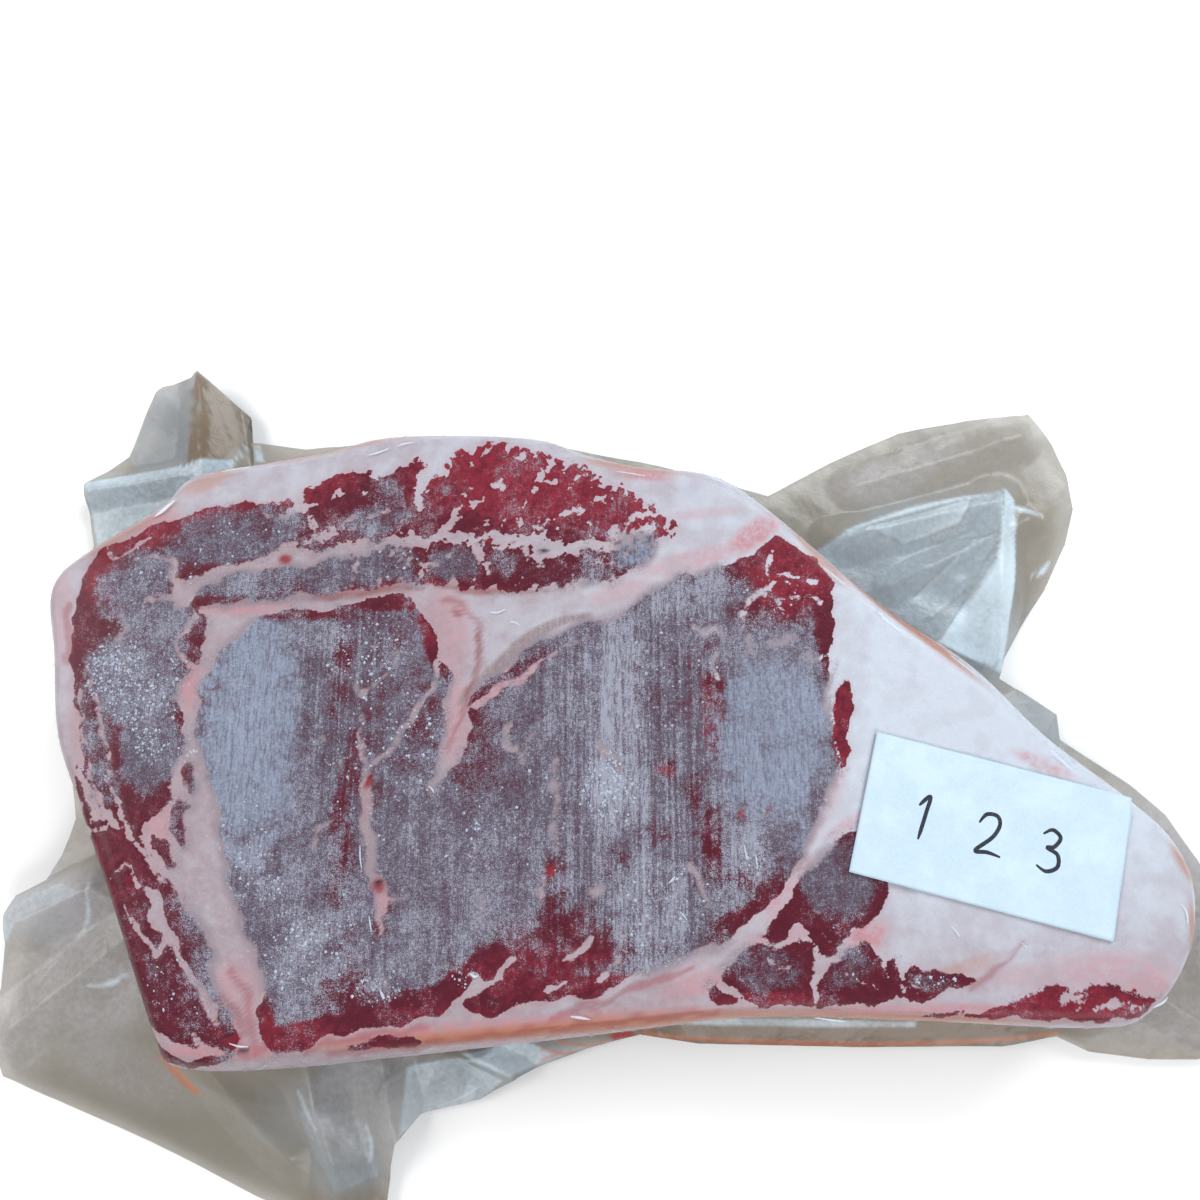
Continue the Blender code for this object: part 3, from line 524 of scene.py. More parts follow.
def inside_distance(spots, outline, steps=4):
    """How deep each spot lies in a closed outline, smooth unless steps is 1, negative outside."""
    loop = smooth_row(outline, closed=True, steps=steps)
    depth = np.full(len(spots), -NEAR)
    index = close_by(spots, loop, NEAR)
    found = spots[index]
    nearest = np.full(len(index), np.inf)
    crossings = np.zeros(len(index), int)
    for start, end in zip(loop, loop[1:]):
        nearest = np.minimum(nearest, segment_distance(found, start, end)[0])
        spans = (start[1] > found[:, 1]) != (end[1] > found[:, 1])
        rise = end[1] - start[1] or 1.0
        crossing_x = start[0] + (found[:, 1] - start[1]) / rise * (end[0] - start[0])
        crossings += spans & (crossing_x > found[:, 0])
    depth[index] = np.where(crossings % 2 == 1, nearest, -nearest)
    return np.clip(depth, -NEAR, NEAR)


def line_distance(spots, lines, reach=NEAR):
    """Distance of each spot to the nearest of several lines that have a width, negative inside."""
    nearest = np.full(len(spots), reach)
    for line in lines:
        row = smooth_row(line, closed=False, steps=4)
        index = close_by(spots, row, reach)
        found = spots[index]
        best = nearest[index]
        for start, end in zip(row, row[1:]):
            away, share = segment_distance(found, start, end)
            best = np.minimum(best, away - start[2] - share * (end[2] - start[2]))
        nearest[index] = best
    return nearest


def zone_strength(spots, zones, soft=0.45):
    """The strongest of several soft round zones at each spot."""
    total = np.zeros(len(spots))
    for x, y, along, across, turn, strength in zones:
        angle = math.radians(turn)
        away = spots - (x, y)
        u = (away[:, 0] * math.cos(angle) + away[:, 1] * math.sin(angle)) / along
        v = (away[:, 1] * math.cos(angle) - away[:, 0] * math.sin(angle)) / across
        share = np.clip((1 + soft - np.hypot(u, v)) / (2 * soft), 0, 1)
        total = np.maximum(total, strength * share * share * (3 - 2 * share))
    return total


def clefts(row, turn, usual, steps):
    """Short clefts of fat that leave a row of points at about one angle, given in degrees."""
    start, middle, tip = CLEFT_WIDTHS
    lines = []
    for i, (x, y) in enumerate(smooth_row(row, closed=False, steps=steps)):
        length = usual * (1 + 0.65 * math.sin(2.4 * i))
        angle = math.radians(turn) + 0.4 * math.sin(1.7 * i)
        reach_x, reach_y = length * math.cos(angle), length * math.sin(angle)
        bend = 0.5 * math.sin(5.1 * i)
        half_way = (x + reach_x / 2 + bend, y + reach_y / 2, middle)
        lines.append(((x, y, start), half_way, (x + reach_x, y + reach_y, tip)))
    return tuple(lines)


def cap_clefts():
    """Clefts that reach into the cap from its edges and from its middle band."""
    outer = clefts(MUSCLES["cap"][OUTER_SPAN], -128, 5.2, 2)
    lower = clefts(MUSCLES["cap"][LOWER_SPAN], 75, 2.5, 2)
    band = [point[:2] for point in MIDDLE_BAND]
    return outer + lower + clefts(band, 50, 4.6, 3) + clefts(band, -70, 3.8, 3)


def mesh_object(name, points, faces, material, smooth=True):
    """A piece from drawn points in millimetres."""
    data = bpy.data.meshes.new(name)
    data.from_pydata(place(points).tolist(), [], faces)
    data.validate()
    if smooth:
        data.shade_smooth()
    data.materials.append(material)
    thing = bpy.data.objects.new(name, data)
    bpy.context.scene.collection.objects.link(thing)
    return thing


def add_marks(thing, name, values):
    """Stores three numbers a vertex under a name, for the material to read."""
    marks = thing.data.attributes.new(name, "FLOAT_VECTOR", "POINT")
    marks.data.foreach_set("vector", np.stack(values, 1).astype(np.float32).ravel())


def ring_faces(rings, count):
    """Faces between neighbouring rings of count points each."""
    return [
        (first + i, first + (i + 1) % count, first + count + (i + 1) % count, first + count + i)
        for first in range(0, (rings - 1) * count, count)
        for i in range(count)
    ]


def ribbon(left, right):
    """A flat ribbon between two rows of points."""
    count = len(left)
    return np.concatenate([left, right]), [(i, i + count, i + count + 1, i + 1) for i in range(count - 1)]


def sideways(row):
    """Unit vectors to the left of an open flat row."""
    along = np.gradient(row, axis=0)
    along /= np.linalg.norm(along, axis=1, keepdims=True)
    return np.stack([-along[:, 1], along[:, 0]], 1)


def shifted(faces, first):
    """The faces, for points that start at the given index."""
    return [tuple(first + i for i in face) for face in faces]


def joined(parts):
    """Several sets of points and faces as one set."""
    points, faces = [], []
    count = 0
    for found, bands in parts:
        points.append(found)
        faces += shifted(bands, count)
        count += len(found)
    return np.concatenate(points), faces


def fine_profile():
    """The side's heights and offsets on a smooth curve."""
    return smooth_row(SIDE_PROFILE, closed=False, steps=2)


def rim_ring(height, offset, clearance=0.0, count=RIM_POINTS):
    """The slab's side at one height, or a ring round it with some clearance."""
    loop = even_loop(smooth_row(SLAB_OUTLINE, closed=True, steps=12), count)
    swell = 1 + SWELL * np.sin(2 * np.pi * SWELL_COUNT * np.arange(count) / count)
    distance = (offset * swell if offset > 0 else np.full(count, offset)) + clearance
    flat = loop + outward(loop) * distance[:, None]
    for _ in range(int(RELAX * max(0.0, -offset))):
        flat = (np.roll(flat, 1, 0) + 2 * flat + np.roll(flat, -1, 0)) / 4
    return np.column_stack([flat, np.full(count, height)])


def ruled_fill(ring, rows, first):
    """
    Fills a ring with rows of points between its upper and lower halves. It returns the new
    points, whose indices start at first, and the faces. The ring's own indices start at 0.
    """
    count = len(ring)
    columns = range(1, count // 2)
    shares = np.arange(1, rows) / rows
    points = []
    lines = [[0]]
    for i in columns:
        other = count - i
        points.append(ring[i] + (ring[other] - ring[i]) * shares[:, None])
        start = first + (len(lines) - 1) * (rows - 1)
        lines.append([i] + list(range(start, start + rows - 1)) + [other])
    lines.append([count // 2])
    faces = []
    for left, right in zip(lines, lines[1:]):
        if len(left) == 1:
            faces += [(left[0], right[k], right[k + 1]) for k in range(rows)]
        elif len(right) == 1:
            faces += [(left[k], right[0], left[k + 1]) for k in range(rows)]
        else:
            faces += [(left[k], right[k], right[k + 1], left[k + 1]) for k in range(rows)]
    return np.concatenate(points), faces


def slab_mesh():
    """Points and faces of the slab: a fine sawn face, the side, and a coarser underside."""
    rings = [rim_ring(height, offset) for height, offset in reversed(fine_profile())]
    points = np.concatenate(rings)
    faces = ring_faces(len(rings), RIM_POINTS)
    top, top_faces = ruled_fill(rings[0], FACE_ROWS, len(points))
    faces += [tuple(reversed(face)) for face in top_faces]
    points = np.concatenate([points, top])
    last = (len(rings) - 1) * RIM_POINTS
    under, under_faces = ruled_fill(rings[-1], UNDER_ROWS, len(points) - last)
    faces += shifted(under_faces, last)
    return np.concatenate([points, under]), faces


WARP_SCALE = 0.3


class Nodes:
    """A material's node tree, built up by short calls."""

    def __init__(self, name):
        self.material = bpy.data.materials.new(name)
        self.material.use_nodes = True
        self.tree = self.material.node_tree
        self.shader = self.tree.nodes["Principled BSDF"]

    def add(self, kind, **settings):
        node = self.tree.nodes.new(kind)
        for key, value in settings.items():
            setattr(node, key, value)
        return node

    def put(self, socket, value):
        if isinstance(value, bpy.types.NodeSocket):
            self.tree.links.new(value, socket)
        elif isinstance(value, tuple) and len(value) == 3 and socket.type == "RGBA":
            socket.default_value = (*value, 1.0)
        else:
            socket.default_value = value

    def set(self, **values):
        for name, value in values.items():
            self.put(self.shader.inputs[name.replace("_", " ")], value)

    def math(self, operation, a, b, c=None):
        node = self.add("ShaderNodeMath", operation=operation)
        self.put(node.inputs[0], a)
        self.put(node.inputs[1], b)
        if c is not None:
            self.put(node.inputs[2], c)
        return node.outputs[0]

    def times(self, a, b):
        return self.math("MULTIPLY", a, b)

    def plus(self, a, b):
        return self.math("ADD", a, b)

    def sway(self, value, share, base):
        """The base, pushed up and down by a value that swings about one half."""
        return self.math("MULTIPLY_ADD", self.math("SUBTRACT", value, 0.5), share, base)

    def smooth(self, value, low, high, to_low=0.0, to_high=1.0):
        node = self.add("ShaderNodeMapRange", interpolation_type="SMOOTHSTEP")
        for socket, given in zip(node.inputs, (value, low, high, to_low, to_high)):
            self.put(socket, given)
        return node.outputs[0]

    def mix(self, share, a, b):
        node = self.add("ShaderNodeMix", data_type="RGBA", clamp_factor=True)
        self.put(node.inputs[0], share)
        self.put(node.inputs[6], a)
        self.put(node.inputs[7], b)
        return node.outputs[2]

    def place_mm(self, stretch=(1.0, 1.0, 1.0)):
        """Object coordinates in millimetres, stretched."""
        where = self.add("ShaderNodeTexCoord").outputs["Object"]
        node = self.add("ShaderNodeMapping")
        self.put(node.inputs["Vector"], where)
        node.inputs["Scale"].default_value = [value / MM for value in stretch]
        return node.outputs[0]

    def noise(self, vector, scale, detail=2.0, rough=0.5):
        node = self.add("ShaderNodeTexNoise")
        self.put(node.inputs["Vector"], vector)
        node.inputs["Scale"].default_value = scale
        node.inputs["Detail"].default_value = detail
        node.inputs["Roughness"].default_value = rough
        return node.outputs["Fac"]

    def clouds(self, vector, scale, detail, rough, low, high):
        """Noise drawn apart, so that it is 0 below the low value and 1 above the high one."""
        return self.smooth(self.noise(vector, scale, detail, rough), low, high)

    def cells(self, vector, scale, feature="F1"):
        node = self.add("ShaderNodeTexVoronoi", feature=feature)
        self.put(node.inputs["Vector"], vector)
        node.inputs["Scale"].default_value = scale
        return node.outputs["Distance"]

    def warped(self, vector, reach):
        """The places pushed about by noise, so that cells lose their straight edges."""
        node = self.add("ShaderNodeTexNoise")
        self.put(node.inputs["Vector"], vector)
        node.inputs["Scale"].default_value = WARP_SCALE
        shift = self.add("ShaderNodeVectorMath", operation="MULTIPLY_ADD")
        self.put(shift.inputs[0], node.outputs["Color"])
        shift.inputs[1].default_value = (reach, reach, reach)
        self.put(shift.inputs[2], vector)
        return shift.outputs[0]

    def marks(self, name):
        node = self.add("ShaderNodeAttribute", attribute_name=name)
        split = self.add("ShaderNodeSeparateXYZ")
        self.put(split.inputs[0], node.outputs["Vector"])
        return split.outputs

    def bump(self, height, distance, strength):
        node = self.add("ShaderNodeBump")
        self.put(node.inputs["Height"], height)
        node.inputs["Distance"].default_value = distance * MM
        node.inputs["Strength"].default_value = strength
        return node.outputs[0]


# Colours of the meat
FAT_WARM = (0.275, 0.215, 0.24)
FAT_COOL = (0.45, 0.49, 0.56)
FAT_LIGHT = (0.43, 0.42, 0.46)
FAT_PINK = (0.40, 0.165, 0.185)
FAT_ORANGE = (0.34, 0.14, 0.085)
FASCIA_BROWN = (0.20, 0.145, 0.145)
BLOOD_RED = (0.20, 0.012, 0.018)
# Painted shade, in small holes and under a fold of film
PAINTED_SHADE_BLACK = (0.012, 0.012, 0.02)
LEAN_DARK = (0.045, 0.004, 0.010)
LEAN_MID = (0.085, 0.008, 0.019)
LEAN_BRIGHT = (0.225, 0.017, 0.034)
LEAN_PALE = (0.24, 0.10, 0.12)
FROST_DARK = (0.066, 0.044, 0.063)
FROST_MID = (0.118, 0.108, 0.145)
FROST_PALE = (0.265, 0.275, 0.335)
FROST_SMOOTH = (0.245, 0.29, 0.38)
FROST_SMOOTH_DIM = (0.145, 0.160, 0.215)
FROSTED_FAT = (0.215, 0.175, 0.20)
ICE = (0.40, 0.45, 0.54)

# Noises of the meat: scale for each millimetre, detail, roughness, and the low and high values
# that are drawn apart to 0 and 1. The stretched ones run along the saw's way, which is Y.
GRIT = (2.3, 2.0, 0.6, 0.3, 0.7)
GRAIN = (1.1, 2.0, 0.6, 0.32, 0.68)
LUMPS = (0.45, 3.0, 0.6, 0.3, 0.7)
BLOTCH = (0.12, 4.0, 0.6, 0.32, 0.68)
DUST = (3.4, 1.0, 0.5, 0.36, 0.64)
SPECK_PATCHES = (0.4, 2.0, 0.5, 0.5, 0.6)
SAW_STRETCH = (1.15, 0.03, 0.2)
SAW = (1.0, 2.0, 0.5, 0.3, 0.7)
SAW_WIDE_STRETCH = (0.33, 0.014, 0.1)
SAW_WIDE = (1.0, 2.0, 0.5, 0.32, 0.68)
SCRATCH_STRETCH = (2.3, 0.3, 0.5)
SCRATCH = (1.0, 2.0, 0.6, 0.5, 0.64)
RIME_SHARES = (0.40, 0.26, 0.46, 0.14, 0.30)
WARP_REACH = 2.5
BUNDLE_SCALE = 0.52
STRAND_SCALE = 0.3
SPECK_SCALE = 0.85


def meat_material():
    """Fat, lean and frost, told apart by the marks on the mesh, with ragged edges from noise."""
    n = Nodes("meat")
    lean, ragged, tone = n.marks("lean_marks")
    frost, streak, crystal = n.marks("frost_marks")
    blush, marble, blood = n.marks("tint_marks")
    painted_shade, cool, even = n.marks("more_marks")
    light, orange, fascia = n.marks("light_marks")
    where = n.place_mm()
    grit = n.clouds(where, *GRIT)
    grain = n.clouds(where, *GRAIN)
    lumps = n.clouds(where, *LUMPS)
    blotch = n.clouds(where, *BLOTCH)
    saw = n.clouds(n.place_mm(SAW_STRETCH), *SAW)
    saw_wide = n.clouds(n.place_mm(SAW_WIDE_STRETCH), *SAW_WIDE)
    scratch = n.clouds(n.place_mm(SCRATCH_STRETCH), *SCRATCH)
    dust = n.clouds(where, *DUST)
    pushed = n.warped(where, WARP_REACH)
    bundle = n.cells(pushed, BUNDLE_SCALE)

    lobes = n.times(n.math("SUBTRACT", 0.56, bundle), n.math("MULTIPLY_ADD", ragged, 1.7, 0.4))
    frayed = n.math("MULTIPLY_ADD", frost, 0.6, n.math("MULTIPLY_ADD", ragged, 0.7, 0.35))
    frayed = n.times(n.math("SUBTRACT", lumps, 0.47), frayed)
    edge = n.plus(n.plus(lean, lobes), frayed)
    edge = n.sway(grain, 0.3, edge)
    soft = n.math("MULTIPLY_ADD", frost, 0.65, 0.14)
    is_lean = n.smooth(edge, n.times(soft, -1.0), soft)

    fat_tone = n.sway(blotch, 0.35, cool)
    fat = n.mix(fat_tone, FAT_WARM, FAT_COOL)
    fat = n.mix(n.times(lumps, 0.2), fat, FAT_LIGHT)
    pink = n.times(blush, n.smooth(n.plus(blotch, lumps), 0.2, 1.6, 0.3, 0.85))
    near_lean = n.smooth(lean, -1.8, 0.2, 0.0, 0.2)
    fat = n.mix(n.math("MAXIMUM", pink, near_lean), fat, FAT_PINK)
    fat = n.mix(orange, fat, FAT_ORANGE)
    hatch = n.smooth(n.plus(saw, grit), 0.4, 1.5, 0.6, 1.0)
    fat = n.mix(n.times(fascia, hatch), fat, FASCIA_BROWN)

    red_tone = n.sway(blotch, 0.4, tone)
    red_tone = n.sway(lumps, 0.5, red_tone)
    red = n.mix(red_tone, LEAN_MID, LEAN_BRIGHT)
    red = n.mix(n.times(grit, 0.45), red, LEAN_DARK)
    red = n.mix(n.smooth(bundle, 0.4, 0.85, 0.0, 0.4), red, LEAN_DARK)
    strand = n.smooth(n.cells(pushed, STRAND_SCALE, "DISTANCE_TO_EDGE"), 0.08, 0.0)
    strand = n.times(strand, n.times(marble, 0.3))
    red = n.mix(n.times(strand, blotch), red, LEAN_PALE)

    rime = 0.0
    for noise, share in zip((grit, grain, dust, lumps, blotch), RIME_SHARES):
        rime = n.sway(noise, share, rime)
    lines = n.sway(saw, 1.0, n.math("SUBTRACT", saw_wide, 0.5))
    rime = n.math("MULTIPLY_ADD", lines, n.math("MULTIPLY_ADD", streak, 0.30, 0.08), rime)
    rime = n.times(rime, n.math("MULTIPLY_ADD", even, -0.4, 1.0))
    patch = n.sway(lumps, 0.25, n.math("SUBTRACT", blotch, 0.5))
    cover = n.math("MULTIPLY_ADD", patch, 0.3, n.math("MULTIPLY_ADD", rime, 0.6, frost))
    cover = n.smooth(cover, 0.14, 0.66)
    frost_tone = n.math("MULTIPLY_ADD", light, 0.42, n.math("MULTIPLY_ADD", rime, 1.0, 0.46))
    frosted = n.mix(n.smooth(frost_tone, 0.0, 0.5), FROST_DARK, FROST_MID)
    frosted = n.mix(n.smooth(frost_tone, 0.42, 0.92), frosted, FROST_PALE)
    smooth_tone = n.math("MULTIPLY_ADD", n.plus(saw, grain), 0.35, n.times(grit, 0.4))
    smooth_frost = n.mix(smooth_tone, FROST_SMOOTH_DIM, FROST_SMOOTH)
    evenness = n.sway(blotch, 0.5, even)
    evenness = n.sway(grain, 0.3, evenness)
    frosted = n.mix(n.smooth(evenness, 0.15, 1.0, 0.0, 0.9), frosted, smooth_frost)
    frosted = n.mix(n.times(scratch, n.math("MULTIPLY_ADD", streak, 0.25, 0.4)), frosted, FROST_DARK)
    red = n.mix(n.times(cover, 0.95), red, frosted)
    veiled = n.mix(n.times(rime, 0.9), FROSTED_FAT, FROST_MID)
    fat = n.mix(n.times(cover, n.smooth(lean, -3.2, -0.4, 0.0, 0.85)), fat, veiled)

    colour = n.mix(is_lean, fat, red)
    speck = n.smooth(n.cells(pushed, SPECK_SCALE), 0.34, 0.2)
    speck = n.times(speck, n.clouds(where, *SPECK_PATCHES))
    speck = n.times(speck, n.math("MULTIPLY_ADD", crystal, 0.7, n.times(cover, 0.22)))
    colour = n.mix(speck, colour, ICE)
    colour = n.mix(blood, colour, BLOOD_RED)
    # Painted shade in small holes and under a fold of film
    colour = n.mix(painted_shade, colour, PAINTED_SHADE_BLACK)

    height = n.math("MULTIPLY_ADD", lumps, 0.25, n.times(grit, 0.25))
    height = n.math("MULTIPLY_ADD", n.times(saw, streak), 0.4, height)
    n.set(Base_Color=colour, Roughness=n.smooth(cover, 0.0, 1.0, 0.42, 0.75))
    n.set(Normal=n.bump(height, 0.3, 0.6))
    n.set(Coat_Weight=0.08, Coat_Roughness=0.14, Specular_IOR_Level=0.14)
    return n.material


def fat_coolness(spots):
    """How bluish the fat is: most at the narrow end and along the upper and left rims."""
    x, y = spots.T
    cool = np.clip((x + 60) / 150, 0, 1) * np.clip((y + 80) / 60, 0, 1)
    cool = np.maximum(cool, 0.4 * np.clip((y - 62) / 12, 0, 1))
    return np.maximum(cool, 0.3 * np.clip((-143 - x) / 4, 0, 1) * np.clip((y + 10) / 20, 0, 1))


FROST_SOFTNESS = 0.35
VEIN_THINNING = 0.35
CLEFT_REACH = 4.0
CLEFT_RIPPLE = 0.2
SOFTENING = 0.8
DIMMING = 0.6
TOP_BAND = 0.2
GROOVE_SLOPE = 1.5
GROOVE_DEPTH = 0.3


def make_steak():
    """The slab, with marks that say where its lean, fat, frost and blood are."""
    points, faces = slab_mesh()
    spots = points[:, :2]
    pushed = wander(spots)
    lean = np.full(len(points), -NEAR)
    for outline in MUSCLES.values():
        lean = np.maximum(lean, inside_distance(pushed, outline))
    zones = {name: zone_strength(spots, table) for name, table in {
        "ragged": RAGGED, "bright": BRIGHT, "streaks": STREAKS, "crystals": CRYSTALS, "blush": BLUSH,
        "marbled": MARBLED, "painted_shade": PAINTED_SHADE_SPOTS, "light": LIGHT_FROST, "orange": ORANGE,
    }.items()}
    frost = np.clip(zone_strength(spots, FROST, FROST_SOFTNESS) - zone_strength(spots, FRESH), 0, 1)
    veins = line_distance(pushed, VEINS) + VEIN_THINNING * (ripple(spots) + frost + zones["ragged"])
    short = line_distance(pushed, cap_clefts(), CLEFT_REACH) + CLEFT_RIPPLE * ripple(spots)
    lean = np.minimum(lean, np.minimum(veins, short))
    lean *= 1 - SOFTENING * zone_strength(spots, SOFT_EDGES)
    lines = np.clip(0.45 - 0.5 * line_distance(pushed, BLOOD_LINES), 0, 0.4)
    blood = np.maximum(zone_strength(spots, BLOOD), lines)
    fascia = np.clip(0.5 - line_distance(spots, FASCIA), 0, 0.9)
    smooth_frost = zone_strength(spots, SMOOTH_FROST, FROST_SOFTNESS)
    light = zones["light"] - DIMMING * zone_strength(spots, DIM_FROST)
    top = points[:, 2] > SLAB_TOP - TOP_BAND
    sunk = np.clip(0.5 - lean / GROOVE_SLOPE, 0, 1) * np.clip(lean + NEAR, 0, 1)
    points[:, 2] -= np.where(top, GROOVE_DEPTH * sunk, 0)
    steak = mesh_object("steak_slab", points, faces, meat_material())
    add_marks(steak, "lean_marks", (lean, zones["ragged"], zones["bright"]))
    add_marks(steak, "frost_marks", (frost, zones["streaks"], zones["crystals"]))
    add_marks(steak, "tint_marks", (zones["blush"], zones["marbled"], blood))
    add_marks(steak, "more_marks", (zones["painted_shade"], fat_coolness(spots), smooth_frost))
    add_marks(steak, "light_marks", (light, zones["orange"], fascia))
    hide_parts("steak")
    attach(steak, "root")


# The bag's outer edge: x, y and height
BAG_EDGE = (
    (-165, 69, 4), (-170, 89.6, 3), (-157, 99.8, 3), (-153, 111.8, 4), (-150, 122.6, 4),
    (-147.7, 124.5, 4), (-136.7, 126, 5), (-134.9, 128.5, 5), (-117, 113.3, 4), (-118.5, 104, 5),
    (-113, 103.5, 6), (-97, 101.3, 6), (-60, 104, 7), (-20, 103, 7), (20, 95, 7), (55, 85, 6),
    (76.4, 97.3, 4), (100.3, 108.3, 3), (124, 113, 2), (144.4, 115, 3), (146.2, 112.6, 3),
    (150.7, 103.7, 4), (154, 93, 5), (155, 81, 5), (151.6, 69, 4), (143.6, 54, 3), (134.3, 41, 3),
    (127, 31, 4), (125, 24.8, 5), (132.5, 21, 5), (142.9, 13.7, 5), (143.7, 6, 4), (164, -8, 4),
    (173.7, -17, 4), (182.4, -30, 3), (190, -44, 2), (191, -64, 2), (187, -84, 3), (175, -87, 3),
    (160.7, -87, 3), (143.4, -84.8, 3), (134, -80.5, 4), (117, -82.8, 6), (73, -83, 6), (29, -82.3, 5),
    (11.7, -80, 4), (-4, -84, 3), (-23.3, -91, 3), (-34.8, -97.7, 3), (-52, -101.7, 3), (-58, -108, 4),
    (-59.5, -115, 4), (-62, -136, 2), (-76, -132, 2), (-98, -123.7, 2), (-129.3, -109.6, 2),
    (-156.4, -99, 2), (-175, -91.8, 2), (-181, -80, 2), (-178, -67, 3), (-178, -46.4, 5),
    (-175.3, -40.6, 6), (-166.7, -36, 6), (-163, -29, 6), (-159.5, -18, 7), (-164, 5, 7), (-168, 34, 7),
)
BAG_POINTS = 1200
BAG_RINGS = 70
FILM = 0.6
GAP = 0.3
LIP_CLEARANCE = GAP + 3 * FILM
DROOP = 1.4
SETTLE = 0.32
LEAST_HEIGHT = 0.5
FOOT_HEIGHT = 0.2
FOLDS = (
    ((75, 69), (128, 82), 5.0, 9.0), ((130, 84), (124, 30), 5.0, 10.0), ((92, 54), (138, 76), 4.0, 6.0),
    ((84, 88), (140, 106), 3.0, 9.0), ((-133, 126), (-128, 88), 5.0, 10.0),
    ((-167, 87), (-130, 92), 4.0, 7.0), ((-150, -38), (-172, -48), 5.0, 9.0),
    ((-138, -52), (-172, -78), 4.0, 10.0), ((-118, -82), (-88, -112), 5.0, 10.0),
    ((-84, -86), (-72, -126), 6.0, 9.0), ((-62, -86), (-57, -112), 6.0, 8.0),
    ((-40, -82), (-24, -92), 3.5, 6.0), ((158, -66), (184, -80), 4.0, 9.0),
    ((165, -30), (186, -56), 4.0, 9.0),
)

# Waves of small creases: turn in degrees, length and height
CREASES = ((12, 31.0, 0.4), (77, 23.0, 0.32), (131, 17.0, 0.2), (48, 11.0, 0.14), (163, 9.0, 0.1))

CRUMPLED = ((-62, -102, 24, 22, 0, 1.0), (-36, -92, 20, 9, 20, 1.0), (108, 58, 20, 20, 0, 0.5))


def margin_edge(lip):
    """The bag's outer edge, one point for each point of the lip, so that its corners are kept."""
    corners = np.array(BAG_EDGE, float)
    nearest = [int(np.argmin(np.hypot(*(lip[:, :2] - corner[:2]).T))) for corner in corners]
    count = len(lip)
    stops = []
    for stop in nearest:
        if stops and stop < stops[-1] - count // 2:
            stop += count
        stops.append(max(stop, stops[-1] + 3) if stops else stop)
    at = np.arange(count)
    return np.stack([np.interp(at, stops, corners[:, axis], period=count) for axis in range(3)], 1)


def fold_height(spots):
    """How far the main folds lift the film."""
    lift = np.zeros(len(spots))
    for start, end, height, half_width in FOLDS:
        away, _ = segment_distance(spots, np.array(start), np.array(end))
        lift = np.maximum(lift, height * np.clip(1 - away / half_width, 0, 1))
    return lift


def crease_height(spots):
    """Sharp small creases, as crumpled film has: tent waves that run several ways."""
    lift = np.zeros(len(spots))
    for turn, length, size in CREASES:
        angle = math.radians(turn)
        along = spots @ np.array([math.cos(angle), math.sin(angle)])
        bend = 7 * np.sin(spots[:, 0] / 19 + turn) + 6 * np.sin(spots[:, 1] / 14 + 2 * turn)
        wave = np.abs(((along + bend) / length) % 1 - 0.5) * 4 - 1
        lift += size * wave * (0.6 + 0.4 * np.sin(spots[:, 0] / 31 + spots[:, 1] / 27 + turn))
    return lift * (1 + 1.8 * zone_strength(spots, CRUMPLED))


def margin_rings():
    """The bag's loose margins as rings from the lip outwards."""
    lip = rim_ring(FLANGE_HEIGHT + FILM, SIDE_PROFILE[2][1], LIP_CLEARANCE, BAG_POINTS)
    edge = margin_edge(lip)
    rings = [lip]
    for share in np.arange(1, BAG_RINGS + 1) / BAG_RINGS:
        flat = lip[:, :2] + (edge[:, :2] - lip[:, :2]) * share
        slope = edge[:, 2] + (lip[:, 2] - edge[:, 2]) * (1 - share) ** DROOP
        lift = fold_height(flat) + crease_height(flat)
        height = slope + min(1.0, share / SETTLE) * lift
        rings.append(np.column_stack([flat, np.maximum(height, LEAST_HEIGHT)]))
    return rings


# Colours of the film and of the juice in it, with a painted pale highlight and a painted bluish
# reflection
TAN = (0.190, 0.167, 0.128)
WARM = (0.145, 0.098, 0.062)
# Painted bluish reflection of the lights on some facets
PAINTED_REFLECTION_BLUE = (0.220, 0.262, 0.295)
MILKY = (0.34, 0.325, 0.335)
# Painted highlight on creases and facet edges
PAINTED_HIGHLIGHT_PALE = (0.50, 0.59, 0.65)
JUICE_RED = (0.24, 0.012, 0.008)
JUICE_ORANGE = (0.40, 0.12, 0.05)


def film_material():
    """Clear film, partly see-through: greyish in folds, with painted highlights on creases and painted
    bluish reflections.
    """
    n = Nodes("film")
    cool, bright, milky = n.marks("film_marks")
    juice, orange, warm = n.marks("juice_marks")
    where = n.place_mm()
    cloud = n.noise(where, 0.05, 3.0, 0.55)
    fine = n.noise(where, 0.6, 3.0, 0.6)
    # The painted bluish reflection
    tint = n.mix(n.sway(cloud, 0.8, cool), TAN, PAINTED_REFLECTION_BLUE)
    haze = n.times(milky, n.smooth(n.plus(cloud, fine), 0.7, 1.3, 0.4, 1.0))
    tint = n.mix(haze, tint, MILKY)
    tint = n.mix(n.times(warm, n.smooth(cloud, 0.3, 0.7, 0.6, 1.0)), tint, WARM)
    # The painted highlights of facets and creases
    painted_shine = n.sway(fine, 0.5, bright)
    tint = n.mix(n.smooth(painted_shine, 0.1, 1.0), tint, PAINTED_HIGHLIGHT_PALE)
    tint = n.mix(orange, tint, JUICE_ORANGE)
    tint = n.mix(juice, tint, JUICE_RED)
    folded = n.times(n.math("MAXIMUM", bright, warm), 0.6)
    cover = n.math("MAXIMUM", folded, n.math("MAXIMUM", juice, orange))
    alpha = n.smooth(n.plus(cover, cloud), 0.3, 1.1, 0.72, 0.95)
    wrinkle = n.noise(where, 0.22, 3.0, 0.55)
    n.set(Base_Color=tint, Alpha=alpha, Normal=n.bump(wrinkle, 1.2, 0.45))
    n.set(Roughness=0.36, Specular_IOR_Level=0.3, Coat_Weight=0.1, Coat_Roughness=0.1)
    return n.material
